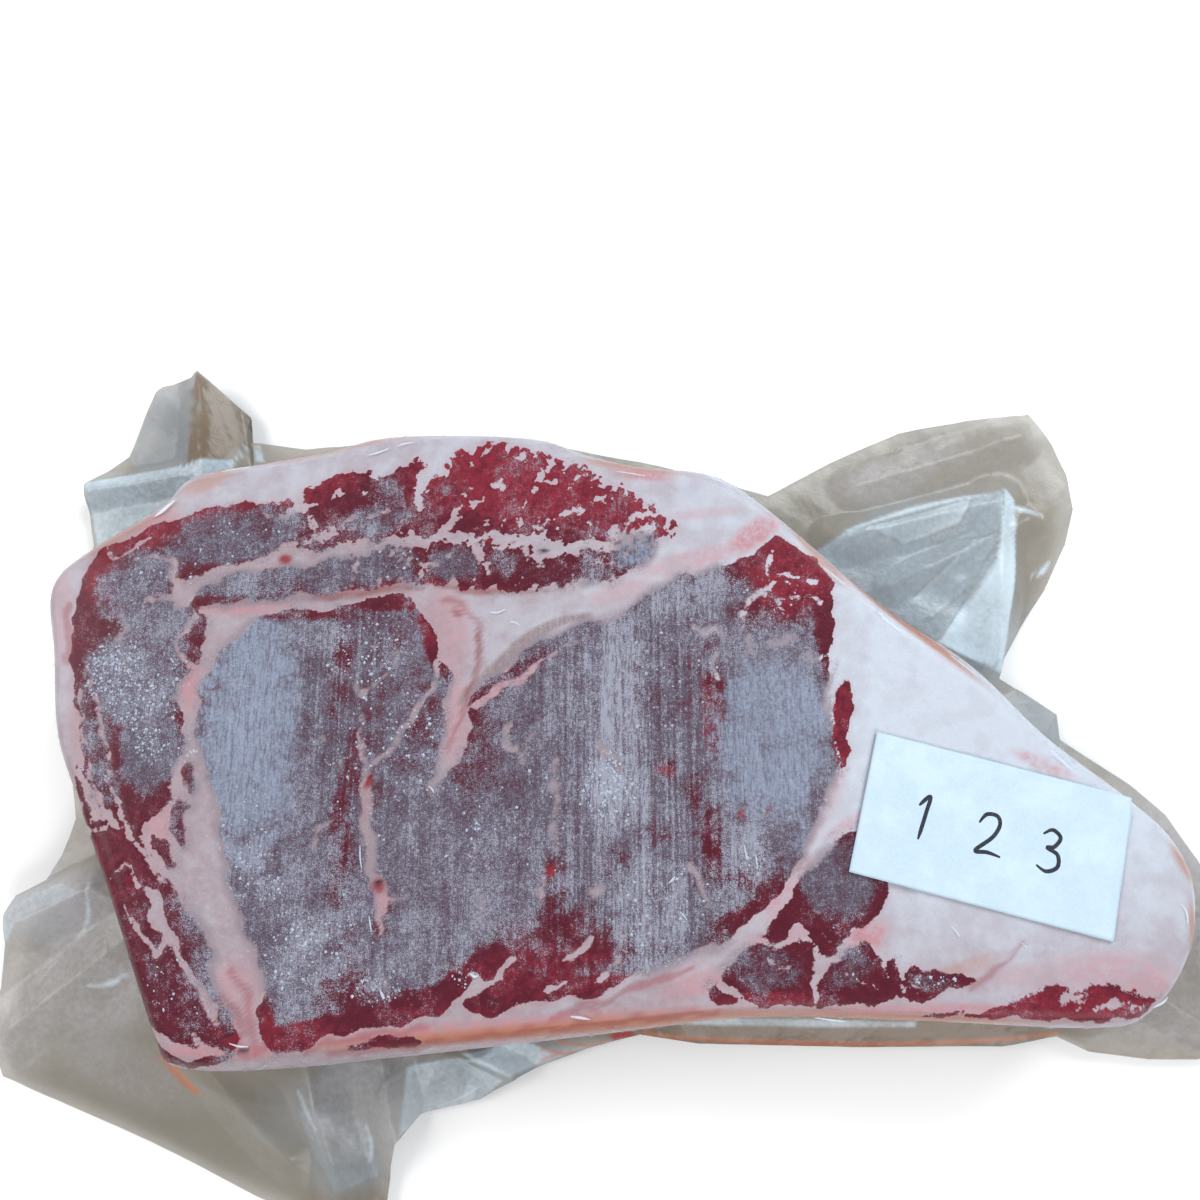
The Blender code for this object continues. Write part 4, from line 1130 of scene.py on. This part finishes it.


# Zones of the film, as those of the meat are given
# Zones of painted bluish reflection
PAINTED_REFLECTION_ZONES = (
    (-150, 84, 22, 9, 0, 0.8), (104, 62, 24, 22, -35, 0.8), (118, 50, 12, 26, 10, 0.9),
    (135, 12, 12, 8, -30, 0.7), (-165, -45, 14, 9, 0, 0.6), (-60, -95, 34, 12, 12, 0.5),
    (-20, -86, 20, 6, 10, 0.8), (-72, -112, 12, 12, 0, 0.5), (-168, 20, 8, 40, 0, 0.4),
)
MILKY_ZONES = (
    (-150, -62, 26, 18, 0, 0.9), (-165, -44, 14, 8, 0, 0.9), (-170, -75, 12, 14, 0, 0.8),
    (-140, -88, 26, 8, -20, 0.5), (170, -40, 22, 30, 0, 0.9), (165, -75, 24, 10, 0, 0.7),
    (95, 92, 20, 7, 20, 0.8), (125, 98, 30, 14, 20, 0.3), (-168, 0, 8, 40, 0, 0.8),
    (-140, -64, 8, 4, 0, 1.0), (-62, -98, 24, 14, 0, 0.65), (-154, -42, 12, 9, 0, 1.0),
)
WARM_ZONES = (
    (60, -79, 75, 5, 0, 1.0), (-30, -80, 40, 5, 4, 0.8), (-70, -128, 14, 8, 0, 0.5),
    (160, -84, 22, 4, 0, 0.4), (172, -55, 16, 26, 0, 0.25),
)

# Flat facets of folded film, as outlines with the strength of each one's painted highlight, of its
# painted bluish reflection, and how tan it is
FACETS = (
    (
        (
            (68, 65), (79, 72), (91, 77), (103, 81), (116, 84), (133, 87), (126, 62), (118, 51),
            (106, 36), (90, 46), (76, 58),
        ),
        0.5, 1.0, 0,
    ),
    (
        ((132, 88), (135, 83), (133, 62), (130, 46), (126, 26), (106, 36), (118, 51), (126, 62)), 1.15,
        1.0, 0,
    ),
    (((84, 73), (121, 84), (116, 75), (98, 68)), 0.7, 1.0, 0),
    (((120, 70), (129, 72), (118, 54), (104, 43), (99, 50)), 0.55, 1.0, 0),
    (((-148, 124), (-135, 127.5), (-135, 95), (-152, 93), (-157, 100), (-153, 112)), 0.0, 0.85, 0.35),
    (((-135, 128), (-117, 113), (-119, 103), (-123, 96), (-135, 95)), 0.0, 0.0, 1.0),
    (
        ((-170, 90), (-152, 93.5), (-133, 95.5), (-119, 97), (-121, 86), (-140, 72), (-164, 69)), 0.75,
        0.8, 0,
    ),
    (((-120, 97), (-118.5, 103), (-116.5, 103), (-118, 97)), 0.8, 0.5, 0),
    (((-114, 97), (-114.5, 103), (-112.5, 103), (-110, 96)), 0.8, 0.5, 0),
    (((-86, -99), (-82, -111), (-74, -121), (-63, -118), (-66, -106), (-74, -97)), 0.25, 0.7, 0),
    (((-78, -86), (-60, -87), (-58, -102), (-70, -100), (-84, -97)), 0.3, 0.5, 0),
    (((-57, -106), (-35, -99), (-28, -92), (-40, -85), (-56, -88)), 0.75, 0.8, 0),
    (((-40, -84), (-22, -81), (-11, -86), (-26, -91)), 0.9, 1.0, 0),
    (((-152, -39), (-170, -46), (-179, -56), (-178, -46), (-172, -40.5), (-161, -36.5)), 0.55, 0.9, 0),
    (((147, -9), (172, -35), (185, -58), (178, -58), (162, -36)), 0.3, 0.0, 0.2),
    (
        (
            (-40, -79.5), (13, -74), (60, -75), (92, -75.6), (92, -77.5), (58, -77.4), (13, -76.6),
            (-40, -82),
        ),
        0.7, 0.9, 0,
    ),
)
FACET_EDGE = 1.3
PAINTED_HIGHLIGHT_REACH = 3.5
# Lines of painted highlight on the film's creases: x, y and half the line's width at each point
PAINTED_HIGHLIGHT_LINES = (
    ((79, 72, 0.2), (91, 76.5, 0.6), (103, 80.5, 0.9), (116, 83.5, 0.6), (127, 85, 0.1)),
    ((133, 80.5, 0.9), (138, 80, 1.0), (144, 78, 0.3)),
    ((-150, -66, 0.1), (-144, -65.5, 0.7), (-139, -62.5, 0.1)),
    ((-151, -37, 0.1), (-152, -46, 0.3), (-155, -52, 0.1)),
    ((-38, -86, 0.2), (-30, -84.5, 0.9), (-23, -83, 0.2)),
    ((148, -11, 0.1), (160, -23, 0.3), (173, -38, 0.2)), ((139, 58, 0.2), (143, 60, 1.0), (146, 64, 0.3)),
    ((137, 44, 0.2), (140, 46, 0.9), (142, 50, 0.3)),
    ((-86, -94, 0.1), (-83, -99, 0.4), (-80, -104, 0.1)),
    ((-52, -101, 0.1), (-42, -98, 0.5), (-33, -93, 0.1)),
    ((-67, -104, 0.1), (-65.5, -109, 0.5), (-66, -114, 0.1)),
)
JUICE_SPOTS = ((7.5, -81, 4.5, 2.6, -20, 1.0),)
ORANGE_LINES = (
    ((-127, -85, 0.9), (-121, -91, 1.3), (-116, -95, 0.8)),
    ((-17, -83.8, 0.2), (-12, -85.2, 0.3), (-3, -85, 0.3), (4, -84.5, 0.3)),
    ((-17, -87.1, 0.2), (-12, -85.4, 0.3)), ((-12, -81.9, 0.2), (-3, -83, 0.3), (3, -82.5, 0.3)),
    (
        (13, -79.7, 0.3), (23, -80.6, 0.4), (47, -81.7, 0.5), (76, -82.2, 0.5), (105, -81.6, 0.5),
        (134, -79.6, 0.3),
    ),
    ((13, -78.5, 0.3), (18, -76.6, 0.3)),
)


def facet_marks(spots):
    """The painted highlight, painted bluish reflection and tan that the facets give each spot; the
    painted highlight is brightest just inside a facet's edge.
    """
    bright, cool, warm = np.zeros((3, len(spots)))
    for outline, painted_shine, painted_blueness, tan in FACETS:
        depth = inside_distance(spots, outline, steps=1)
        inside = np.clip(0.5 + depth / FACET_EDGE, 0, 1)
        painted_sheen = 0.5 + 0.5 * np.sin(spots[:, 0] / 5.3 + 1.7 * np.sin(spots[:, 1] / 7.1))
        painted_glow = 0.55 + (0.1 + 0.35 * painted_sheen) * np.exp(-np.clip(depth, 0, None) / PAINTED_HIGHLIGHT_REACH)
        bright = np.maximum(bright * (1 - 0.6 * inside), painted_shine * inside * painted_glow)
        cool = np.maximum(cool * (1 - inside), painted_blueness * inside)
        warm = np.maximum(warm * (1 - inside), tan * inside)
    return bright, cool, warm


def film_marks(spots):
    """Where the film has a painted bluish reflection, painted highlights and milkiness, and where it is
    tan or meat juice has run.
    """
    bright, cool, warm = facet_marks(spots)
    painted_shining = np.clip(0.5 - 0.4 * line_distance(spots, PAINTED_HIGHLIGHT_LINES), 0, 0.8)
    orange = np.clip(0.5 - 0.7 * line_distance(spots, ORANGE_LINES), 0, 0.75)
    cool = np.maximum(cool, zone_strength(spots, PAINTED_REFLECTION_ZONES) * (1 - warm))
    warm = np.maximum(warm, zone_strength(spots, WARM_ZONES) * (1 - bright))
    juice = zone_strength(spots, JUICE_SPOTS, 0.2)
    return (cool, np.maximum(bright, painted_shining), zone_strength(spots, MILKY_ZONES)), (juice, orange, warm)


def make_film():
    """The bag: film under the slab, up its side to the lip, and out to the crumpled edge."""
    foot = rim_ring(FOOT_HEIGHT, SIDE_PROFILE[0][1], GAP, BAG_POINTS)
    low = rim_ring(SIDE_PROFILE[1][0], SIDE_PROFILE[1][1], GAP, BAG_POINTS)
    flange = rim_ring(FLANGE_HEIGHT, SIDE_PROFILE[2][1], GAP, BAG_POINTS)
    rings = [foot, low, flange] + margin_rings()
    points = np.concatenate(rings)
    faces = [tuple(reversed(range(BAG_POINTS)))] + ring_faces(len(rings), BAG_POINTS)
    film = mesh_object("film_bag", points, faces, film_material())
    looks, juices = film_marks(points[:, :2])
    add_marks(film, "film_marks", looks)
    add_marks(film, "juice_marks", juices)
    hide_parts("bag")
    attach(film, "root")


SKIN_LIFT = 0.2
SKIN_ROWS = 24
SKIN_RISE = 30.0
PUCKER = 0.35
RIBBON_LIFT = 0.04
PUCKER_GREY = (0.42, 0.46, 0.50)
GLINT_WHITE = (0.62, 0.70, 0.78)

# White glints on the tight film: x, y and half the glint's width at each point
GLINTS = (
    ((-127, 66, 0.1), (-125, 67.5, 0.5), (-123, 69.5, 0.4), (-121.5, 71, 0.1)),
    ((-67, 84.5, 0.1), (-64, 85.3, 0.25), (-61, 86.6, 0.1)),
    ((-58.5, 87.4, 0.1), (-56.5, 88, 0.2), (-54, 88.4, 0.1)),
    ((5, 79.5, 0.1), (9, 78.9, 0.15), (13, 78.2, 0.1)),
    ((-30.5, 38.2, 0.1), (-28.5, 38, 0.2), (-26.5, 39, 0.1)),
    ((-25, 35.3, 0.1), (-23.5, 35.2, 0.15), (-22.4, 34.5, 0.1)), ((77, 38.6, 0.1), (79, 37.4, 0.2)),
    ((91.5, -45.5, 0.1), (93, -47, 0.2), (93.6, -48.2, 0.1)), ((109.5, -49.6, 0.1), (111, -51, 0.2)),
    ((122, 0, 0.1), (125, -3, 0.2), (127.5, -5.5, 0.1)),
    ((152.4, -40, 0.1), (153.5, -42, 0.2), (153.5, -45, 0.1)),
    ((146, -63, 0.1), (144.5, -64.4, 0.3), (142, -65.5, 0.1)),
    ((-7.5, -67.7, 0.1), (-5, -68, 0.35), (-2.5, -68.4, 0.1)),
    ((55, -68, 0.1), (59, -68.5, 0.2), (63, -68.9, 0.1)),
    ((63, 51, 0.1), (66, 48.5, 0.15), (69, 46, 0.1)),
    ((76, 39.8, 0.1), (80, 35.8, 0.15), (84, 32.5, 0.1)),
    ((-63.7, -25, 0.1), (-63.5, -28, 0.2), (-63, -31, 0.1)),
    ((-60.4, -43, 0.1), (-60, -45, 0.2), (-59.6, -47, 0.1)),
    ((-46, -9.6, 0.1), (-45, -10.5, 0.2), (-44.6, -11.4, 0.1)),
    ((38.3, -25, 0.1), (38.6, -27, 0.2), (38.8, -28.5, 0.1)),
    ((41.2, -27.4, 0.1), (41.4, -29, 0.2), (41.6, -31, 0.1)),
    ((18, -34.8, 0.1), (19, -34, 0.3), (19.8, -33, 0.1)),
    ((21, -42, 0.1), (22, -43, 0.2), (22.7, -44, 0.1)),
    ((-33.6, -57.2, 0.1), (-32.5, -58, 0.35), (-31.4, -57.8, 0.1)),
    ((-56.6, -61.4, 0.1), (-56, -62.5, 0.4), (-55.4, -63.4, 0.1)),
    ((97, 25.8, 0.1), (101, 22.6, 0.15), (104, 20, 0.1)),
    ((-109, 79.4, 0.1), (-105, 80.2, 0.15), (-101, 80.8, 0.1)),
    ((31, 78, 0.1), (35, 76.4, 0.15), (38, 74.6, 0.1)),
    ((-94.5, -74.1, 0.1), (-92, -74.8, 0.25), (-89.5, -74.9, 0.1)),
)


def skin_material():
    """The tight film: almost clear on the face, with pale puckers up the side and white glints."""
    n = Nodes("skin")
    side, glint, _ = n.marks("skin_marks")
    pucker = n.smooth(n.noise(n.place_mm((0.45, 0.45, 0.05)), 1.0, 3.0, 0.6), 0.52, 0.68)
    tint = n.mix(glint, PUCKER_GREY, GLINT_WHITE)
    alpha = n.times(n.times(pucker, side), 0.30)
    alpha = n.math("MAXIMUM", alpha, n.times(glint, 0.6))
    n.set(Base_Color=tint, Alpha=alpha, Roughness=0.15, Specular_IOR_Level=0.6)
    return n.material


def glint_ribbons():
    """Small flat ribbons that lie on the tight film."""
    height = SLAB_TOP + SKIN_LIFT + RIBBON_LIFT
    parts = []
    for line in GLINTS:
        row = smooth_row(line, closed=False, steps=4)
        side = sideways(row[:, :2]) * row[:, 2:]
        edges = [row[:, :2] + side, row[:, :2] - side]
        parts.append(ribbon(*(np.column_stack([edge, np.full(len(row), height)]) for edge in edges)))
    return joined(parts)


def make_skin():
    """The film that the vacuum draws tight over the slab, from the lip up the side and over the face."""
    rings = []
    for height, offset in reversed(fine_profile()):
        if height < FLANGE_HEIGHT + FILM:
            continue
        ring = rim_ring(height, offset, GAP)
        high = np.clip((height - FLANGE_HEIGHT) / SKIN_RISE, 0, 1)
        step = np.arange(RIM_POINTS)
        wave = np.sin(step * 1.1) * np.sin(step * 0.217 + height / 9)
        ring[:, :2] += outward(ring[:, :2]) * (PUCKER * np.abs(wave) * (1 - high))[:, None]
        ring[:, 2] += SKIN_LIFT * high
        rings.append(ring)
    points = np.concatenate(rings)
    faces = ring_faces(len(rings), RIM_POINTS)
    top, top_faces = ruled_fill(rings[0], SKIN_ROWS, len(points))
    faces += [tuple(reversed(face)) for face in top_faces]
    ribbons, bands = glint_ribbons()
    first = len(points) + len(top)
    faces += shifted(bands, first)
    glint = np.concatenate([np.zeros(first), np.ones(len(ribbons))])
    points = np.concatenate([points, top, ribbons])
    side = np.clip((SLAB_TOP - 0.5 - points[:, 2]) / 2, 0, 1)
    skin = mesh_object("film_skin", points, faces, skin_material())
    add_marks(skin, "skin_marks", (side, glint, np.zeros(len(points))))
    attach(skin, "root")


LABEL_CELLS = (84, 46)
LABEL_THICK = 0.3
LABEL_HEIGHT = SLAB_TOP + GAP + LABEL_THICK
CORNER_START = (29.0, 13.0)
CORNER_DROP = 1.2
PAPER_SHADE = (0.42, 0.53, 0.63)
PAPER_PALE = (0.47, 0.58, 0.67)
PAPER_FIBRE = (0.53, 0.64, 0.72)
INK_DARK = (0.006, 0.008, 0.014)
INK_WORN = (0.03, 0.04, 0.06)
PEN_WIDTH = 1.05
PEN_TIP = 0.45
PEN_TAPER = 4


def label_height(u, v):
    """How far the paper stands above its lowest place: small waves, and the far corner bent down."""
    past_x = np.clip(u - CORNER_START[0], 0, None) / (LABEL_SIZE[0] / 2 - CORNER_START[0])
    past_y = np.clip(v - CORNER_START[1], 0, None) / (LABEL_SIZE[1] / 2 - CORNER_START[1])
    waves = 0.05 * np.sin(u / 3.1 + v / 5.3) + 0.05 * np.sin(v / 2.7 - u / 7.9)
    waves += 0.03 * np.sin(u / 1.7 + 2.0)
    return waves - CORNER_DROP * past_x * past_y


def on_label(u, v, lift=0.0):
    """A place on the label's face as a drawn place."""
    u, v = np.asarray(u, float), np.asarray(v, float)
    x = LABEL_CENTRE[0] + u * math.cos(LABEL_TURN) - v * math.sin(LABEL_TURN)
    y = LABEL_CENTRE[1] + u * math.sin(LABEL_TURN) + v * math.cos(LABEL_TURN)
    return np.stack([x, y, LABEL_HEIGHT + label_height(u, v) + lift], -1)


def paper_material():
    n = Nodes("label_paper")
    where = n.place_mm()
    fibre = n.noise(where, 1.3, 4.0, 0.65)
    cloud = n.noise(where, 0.12, 3.0, 0.55)
    crease = n.smooth(n.cells(where, 0.16, "DISTANCE_TO_EDGE"), 0.0, 0.05)
    tint = n.mix(n.smooth(cloud, 0.35, 0.7), PAPER_SHADE, PAPER_PALE)
    tint = n.mix(n.smooth(fibre, 0.35, 0.75, 0.0, 0.35), tint, PAPER_FIBRE)
    height = n.math("MULTIPLY_ADD", crease, 0.5, fibre)
    n.set(Base_Color=tint, Roughness=0.75, Specular_IOR_Level=0.2, Normal=n.bump(height, 0.12, 0.5))
    return n.material


def make_label():
    columns, rows = LABEL_CELLS
    u, v = np.meshgrid(
        np.linspace(-0.5, 0.5, columns + 1) * LABEL_SIZE[0],
        np.linspace(-0.5, 0.5, rows + 1) * LABEL_SIZE[1],
    )
    top = on_label(u.ravel(), v.ravel())
    under = top - (0, 0, LABEL_THICK)
    wide = columns + 1
    count = len(top)
    faces = []
    for row in range(rows):
        for column in range(columns):
            a = row * wide + column
            face = (a, a + 1, a + 1 + wide, a + wide)
            faces += [face, tuple(count + i for i in reversed(face))]
    border = list(range(columns)) + [row * wide + columns for row in range(rows)]
    border += [rows * wide + columns - i for i in range(columns)]
    border += [(rows - row) * wide for row in range(rows)]
    for a, b in zip(border, border[1:] + border[:1]):
        faces.append((b, a, a + count, b + count))
    label = mesh_object("label_slip", np.concatenate([top, under]), faces, paper_material())
    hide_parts("label")
    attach(label, "root")


# Three plain figures drawn with a pen, each stroke in the label's own millimetres
FIGURES = (
    ((-20.3, 2.6), (-17.8, 5.6), (-18.2, 0.8), (-19.0, -6.2)),
    (
        (-4.0, 2.2), (-2.4, 4.8), (0.4, 5.0), (1.4, 2.8), (0.0, -0.8), (-3.8, -5.2), (-0.6, -4.9),
        (2.9, -5.3),
    ),
    (
        (13.0, 3.6), (15.3, 5.2), (17.6, 3.7), (16.4, 1.0), (14.6, 0.3), (17.5, -0.9), (17.9, -4.0),
        (15.2, -5.8), (12.4, -4.8),
    ),
)


def pen_stroke(stroke):
    """A pen's line on the label, narrower at its ends."""
    row = smooth_row(stroke, closed=False, steps=8)
    to_end = np.minimum(np.linspace(0, 1, len(row)), np.linspace(1, 0, len(row)))
    taper = np.minimum(1, PEN_TIP + PEN_TAPER * to_end)
    reach = sideways(row) * (PEN_WIDTH / 2 * taper)[:, None]
    return ribbon(on_label(*(row + reach).T, RIBBON_LIFT), on_label(*(row - reach).T, RIBBON_LIFT))


def ink_material():
    n = Nodes("ink")
    blot = n.noise(n.place_mm(), 2.0, 3.0, 0.6)
    tint = n.mix(n.smooth(blot, 0.35, 0.7), INK_DARK, INK_WORN)
    n.set(Base_Color=tint, Roughness=0.45)
    return n.material


def make_figures():
    points, faces = joined([pen_stroke(stroke) for stroke in FIGURES])
    figures = mesh_object("pen_figures", points, faces, ink_material())
    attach(figures, "root")


CRYSTAL_COUNT = 1700
CRYSTAL_SIZE = (0.16, 0.62)
CRYSTAL_AREA = ((-150.0, -80.0), (120.0, 85.0))
CRYSTAL_TRIES = 60
CRYSTAL_CHANCE = 0.6
CRYSTAL_FLATNESS = 0.4
CRYSTAL_LIFT = 0.05
ICE_DEEP = (0.26, 0.30, 0.38)
ICE_PALE = (0.46, 0.52, 0.62)


def ice_material():
    n = Nodes("ice")
    tint = n.mix(n.noise(n.place_mm(), 0.8, 2.0, 0.5), ICE_DEEP, ICE_PALE)
    n.set(Base_Color=tint, Roughness=0.35, Specular_IOR_Level=0.5, Alpha=0.9)
    return n.material


def make_crystals():
    """Small ice crystals on the sawn face, thickest where the photograph shows them."""
    rng = np.random.default_rng(SEED)
    spots = rng.uniform(*np.array(CRYSTAL_AREA), (CRYSTAL_TRIES * CRYSTAL_COUNT, 2))
    chance = zone_strength(spots, CRYSTALS) ** 2
    lean = np.max([inside_distance(spots, outline) for outline in MUSCLES.values()], axis=0)
    chosen = spots[(rng.random(len(spots)) < chance * CRYSTAL_CHANCE) & (lean > 0.5)][:CRYSTAL_COUNT]
    corners = np.array([(1, 0, 0), (0, 1, 0), (-1, 0, 0), (0, -1, 0), (0, 0, 1), (0, 0, -1)], float)
    sides = [(0, 1, 4), (1, 2, 4), (2, 3, 4), (3, 0, 4), (1, 0, 5), (2, 1, 5), (3, 2, 5), (0, 3, 5)]
    smallest, largest = CRYSTAL_SIZE
    parts = []
    for x, y in chosen:
        size = smallest + (largest - smallest) * rng.random() ** 2.2
        turn = rng.uniform(0, math.pi)
        spin = np.array([[math.cos(turn), -math.sin(turn)], [math.sin(turn), math.cos(turn)]])
        shape = corners * size * rng.uniform(0.5, 1.2, (6, 1))
        shape[:, :2] = shape[:, :2] @ spin
        shape[:, 2] *= CRYSTAL_FLATNESS
        parts.append((shape + (x, y, SLAB_TOP + CRYSTAL_LIFT), sides))
    points, faces = joined(parts)
    crystals = mesh_object("frost_crystals", points, faces, ice_material(), smooth=False)
    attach(crystals, "root")


CAMERA_PLACE = (0.0, -18.968, 318.363)
CAMERA_TILT = math.radians(12.5)
CAMERA_LENS = 30.0
SENSOR_WIDTH = 36.0
CLIP_START = 0.01


def make_camera():
    """The photograph's view: close, from above and a little from the near side."""
    data = bpy.data.cameras.new("camera")
    data.lens = CAMERA_LENS
    data.sensor_width = SENSOR_WIDTH
    data.clip_start = CLIP_START
    camera = bpy.data.objects.new("camera", data)
    bpy.context.scene.collection.objects.link(camera)
    camera.location = place([CAMERA_PLACE])[0]
    camera.rotation_euler = (CAMERA_TILT, 0.0, 0.0)
    bpy.context.scene.camera = camera


# Soft lights, in metres: name, place, size, power and colour
LIGHTS = (
    ("window", (0.7, 1.0, 0.9), (1.0, 0.7), 22.0, (0.92, 0.97, 1.0)),
    ("lamp", (-1.1, 0.2, 1.0), (0.9, 0.9), 16.0, (1.0, 0.98, 0.96)),
    ("fill", (0.5, -1.1, 0.9), (1.2, 0.7), 14.0, (1.0, 0.99, 0.98)),
)
LIGHT_AIM = (0, 0, 0.03)
WORLD_COLOUR = (0.90, 0.95, 1.0, 1.0)
WORLD_STRENGTH = 0.35
FLOOR_SIZE = 6.0
FLOOR_HEIGHT = -0.0005


def area_light(name, where, size, power, colour):
    data = bpy.data.lights.new(name, "AREA")
    data.shape = "RECTANGLE"
    data.size, data.size_y = size
    data.energy = power
    data.color = colour
    light = bpy.data.objects.new(name, data)
    bpy.context.scene.collection.objects.link(light)
    light.location = where
    way = Vector(LIGHT_AIM) - Vector(where)
    light.rotation_euler = way.to_track_quat("-Z", "Y").to_euler()


def make_studio():
    """A pale floor, an even pale surrounding and soft lights."""
    scene = bpy.context.scene
    scene.view_settings.view_transform = "Standard"
    scene.view_settings.look = "None"
    world = bpy.data.worlds.new("studio")
    world.use_nodes = True
    background = world.node_tree.nodes["Background"]
    background.inputs["Color"].default_value = WORLD_COLOUR
    background.inputs["Strength"].default_value = WORLD_STRENGTH
    scene.world = world
    n = Nodes("floor")
    tint = n.noise(n.place_mm(), 0.01, 2.0, 0.5)
    n.set(Base_Color=n.mix(tint, (0.86, 0.86, 0.86), (0.9, 0.9, 0.9)), Roughness=0.8)
    bpy.ops.mesh.primitive_plane_add(size=FLOOR_SIZE, location=(0, 0, FLOOR_HEIGHT))
    floor = bpy.context.object
    floor.name = "floor"
    floor.data.materials.append(n.material)
    for light in LIGHTS:
        area_light(*light)


make_steak()
make_film()
make_skin()
make_label()
make_figures()
make_crystals()
make_camera()
make_studio()
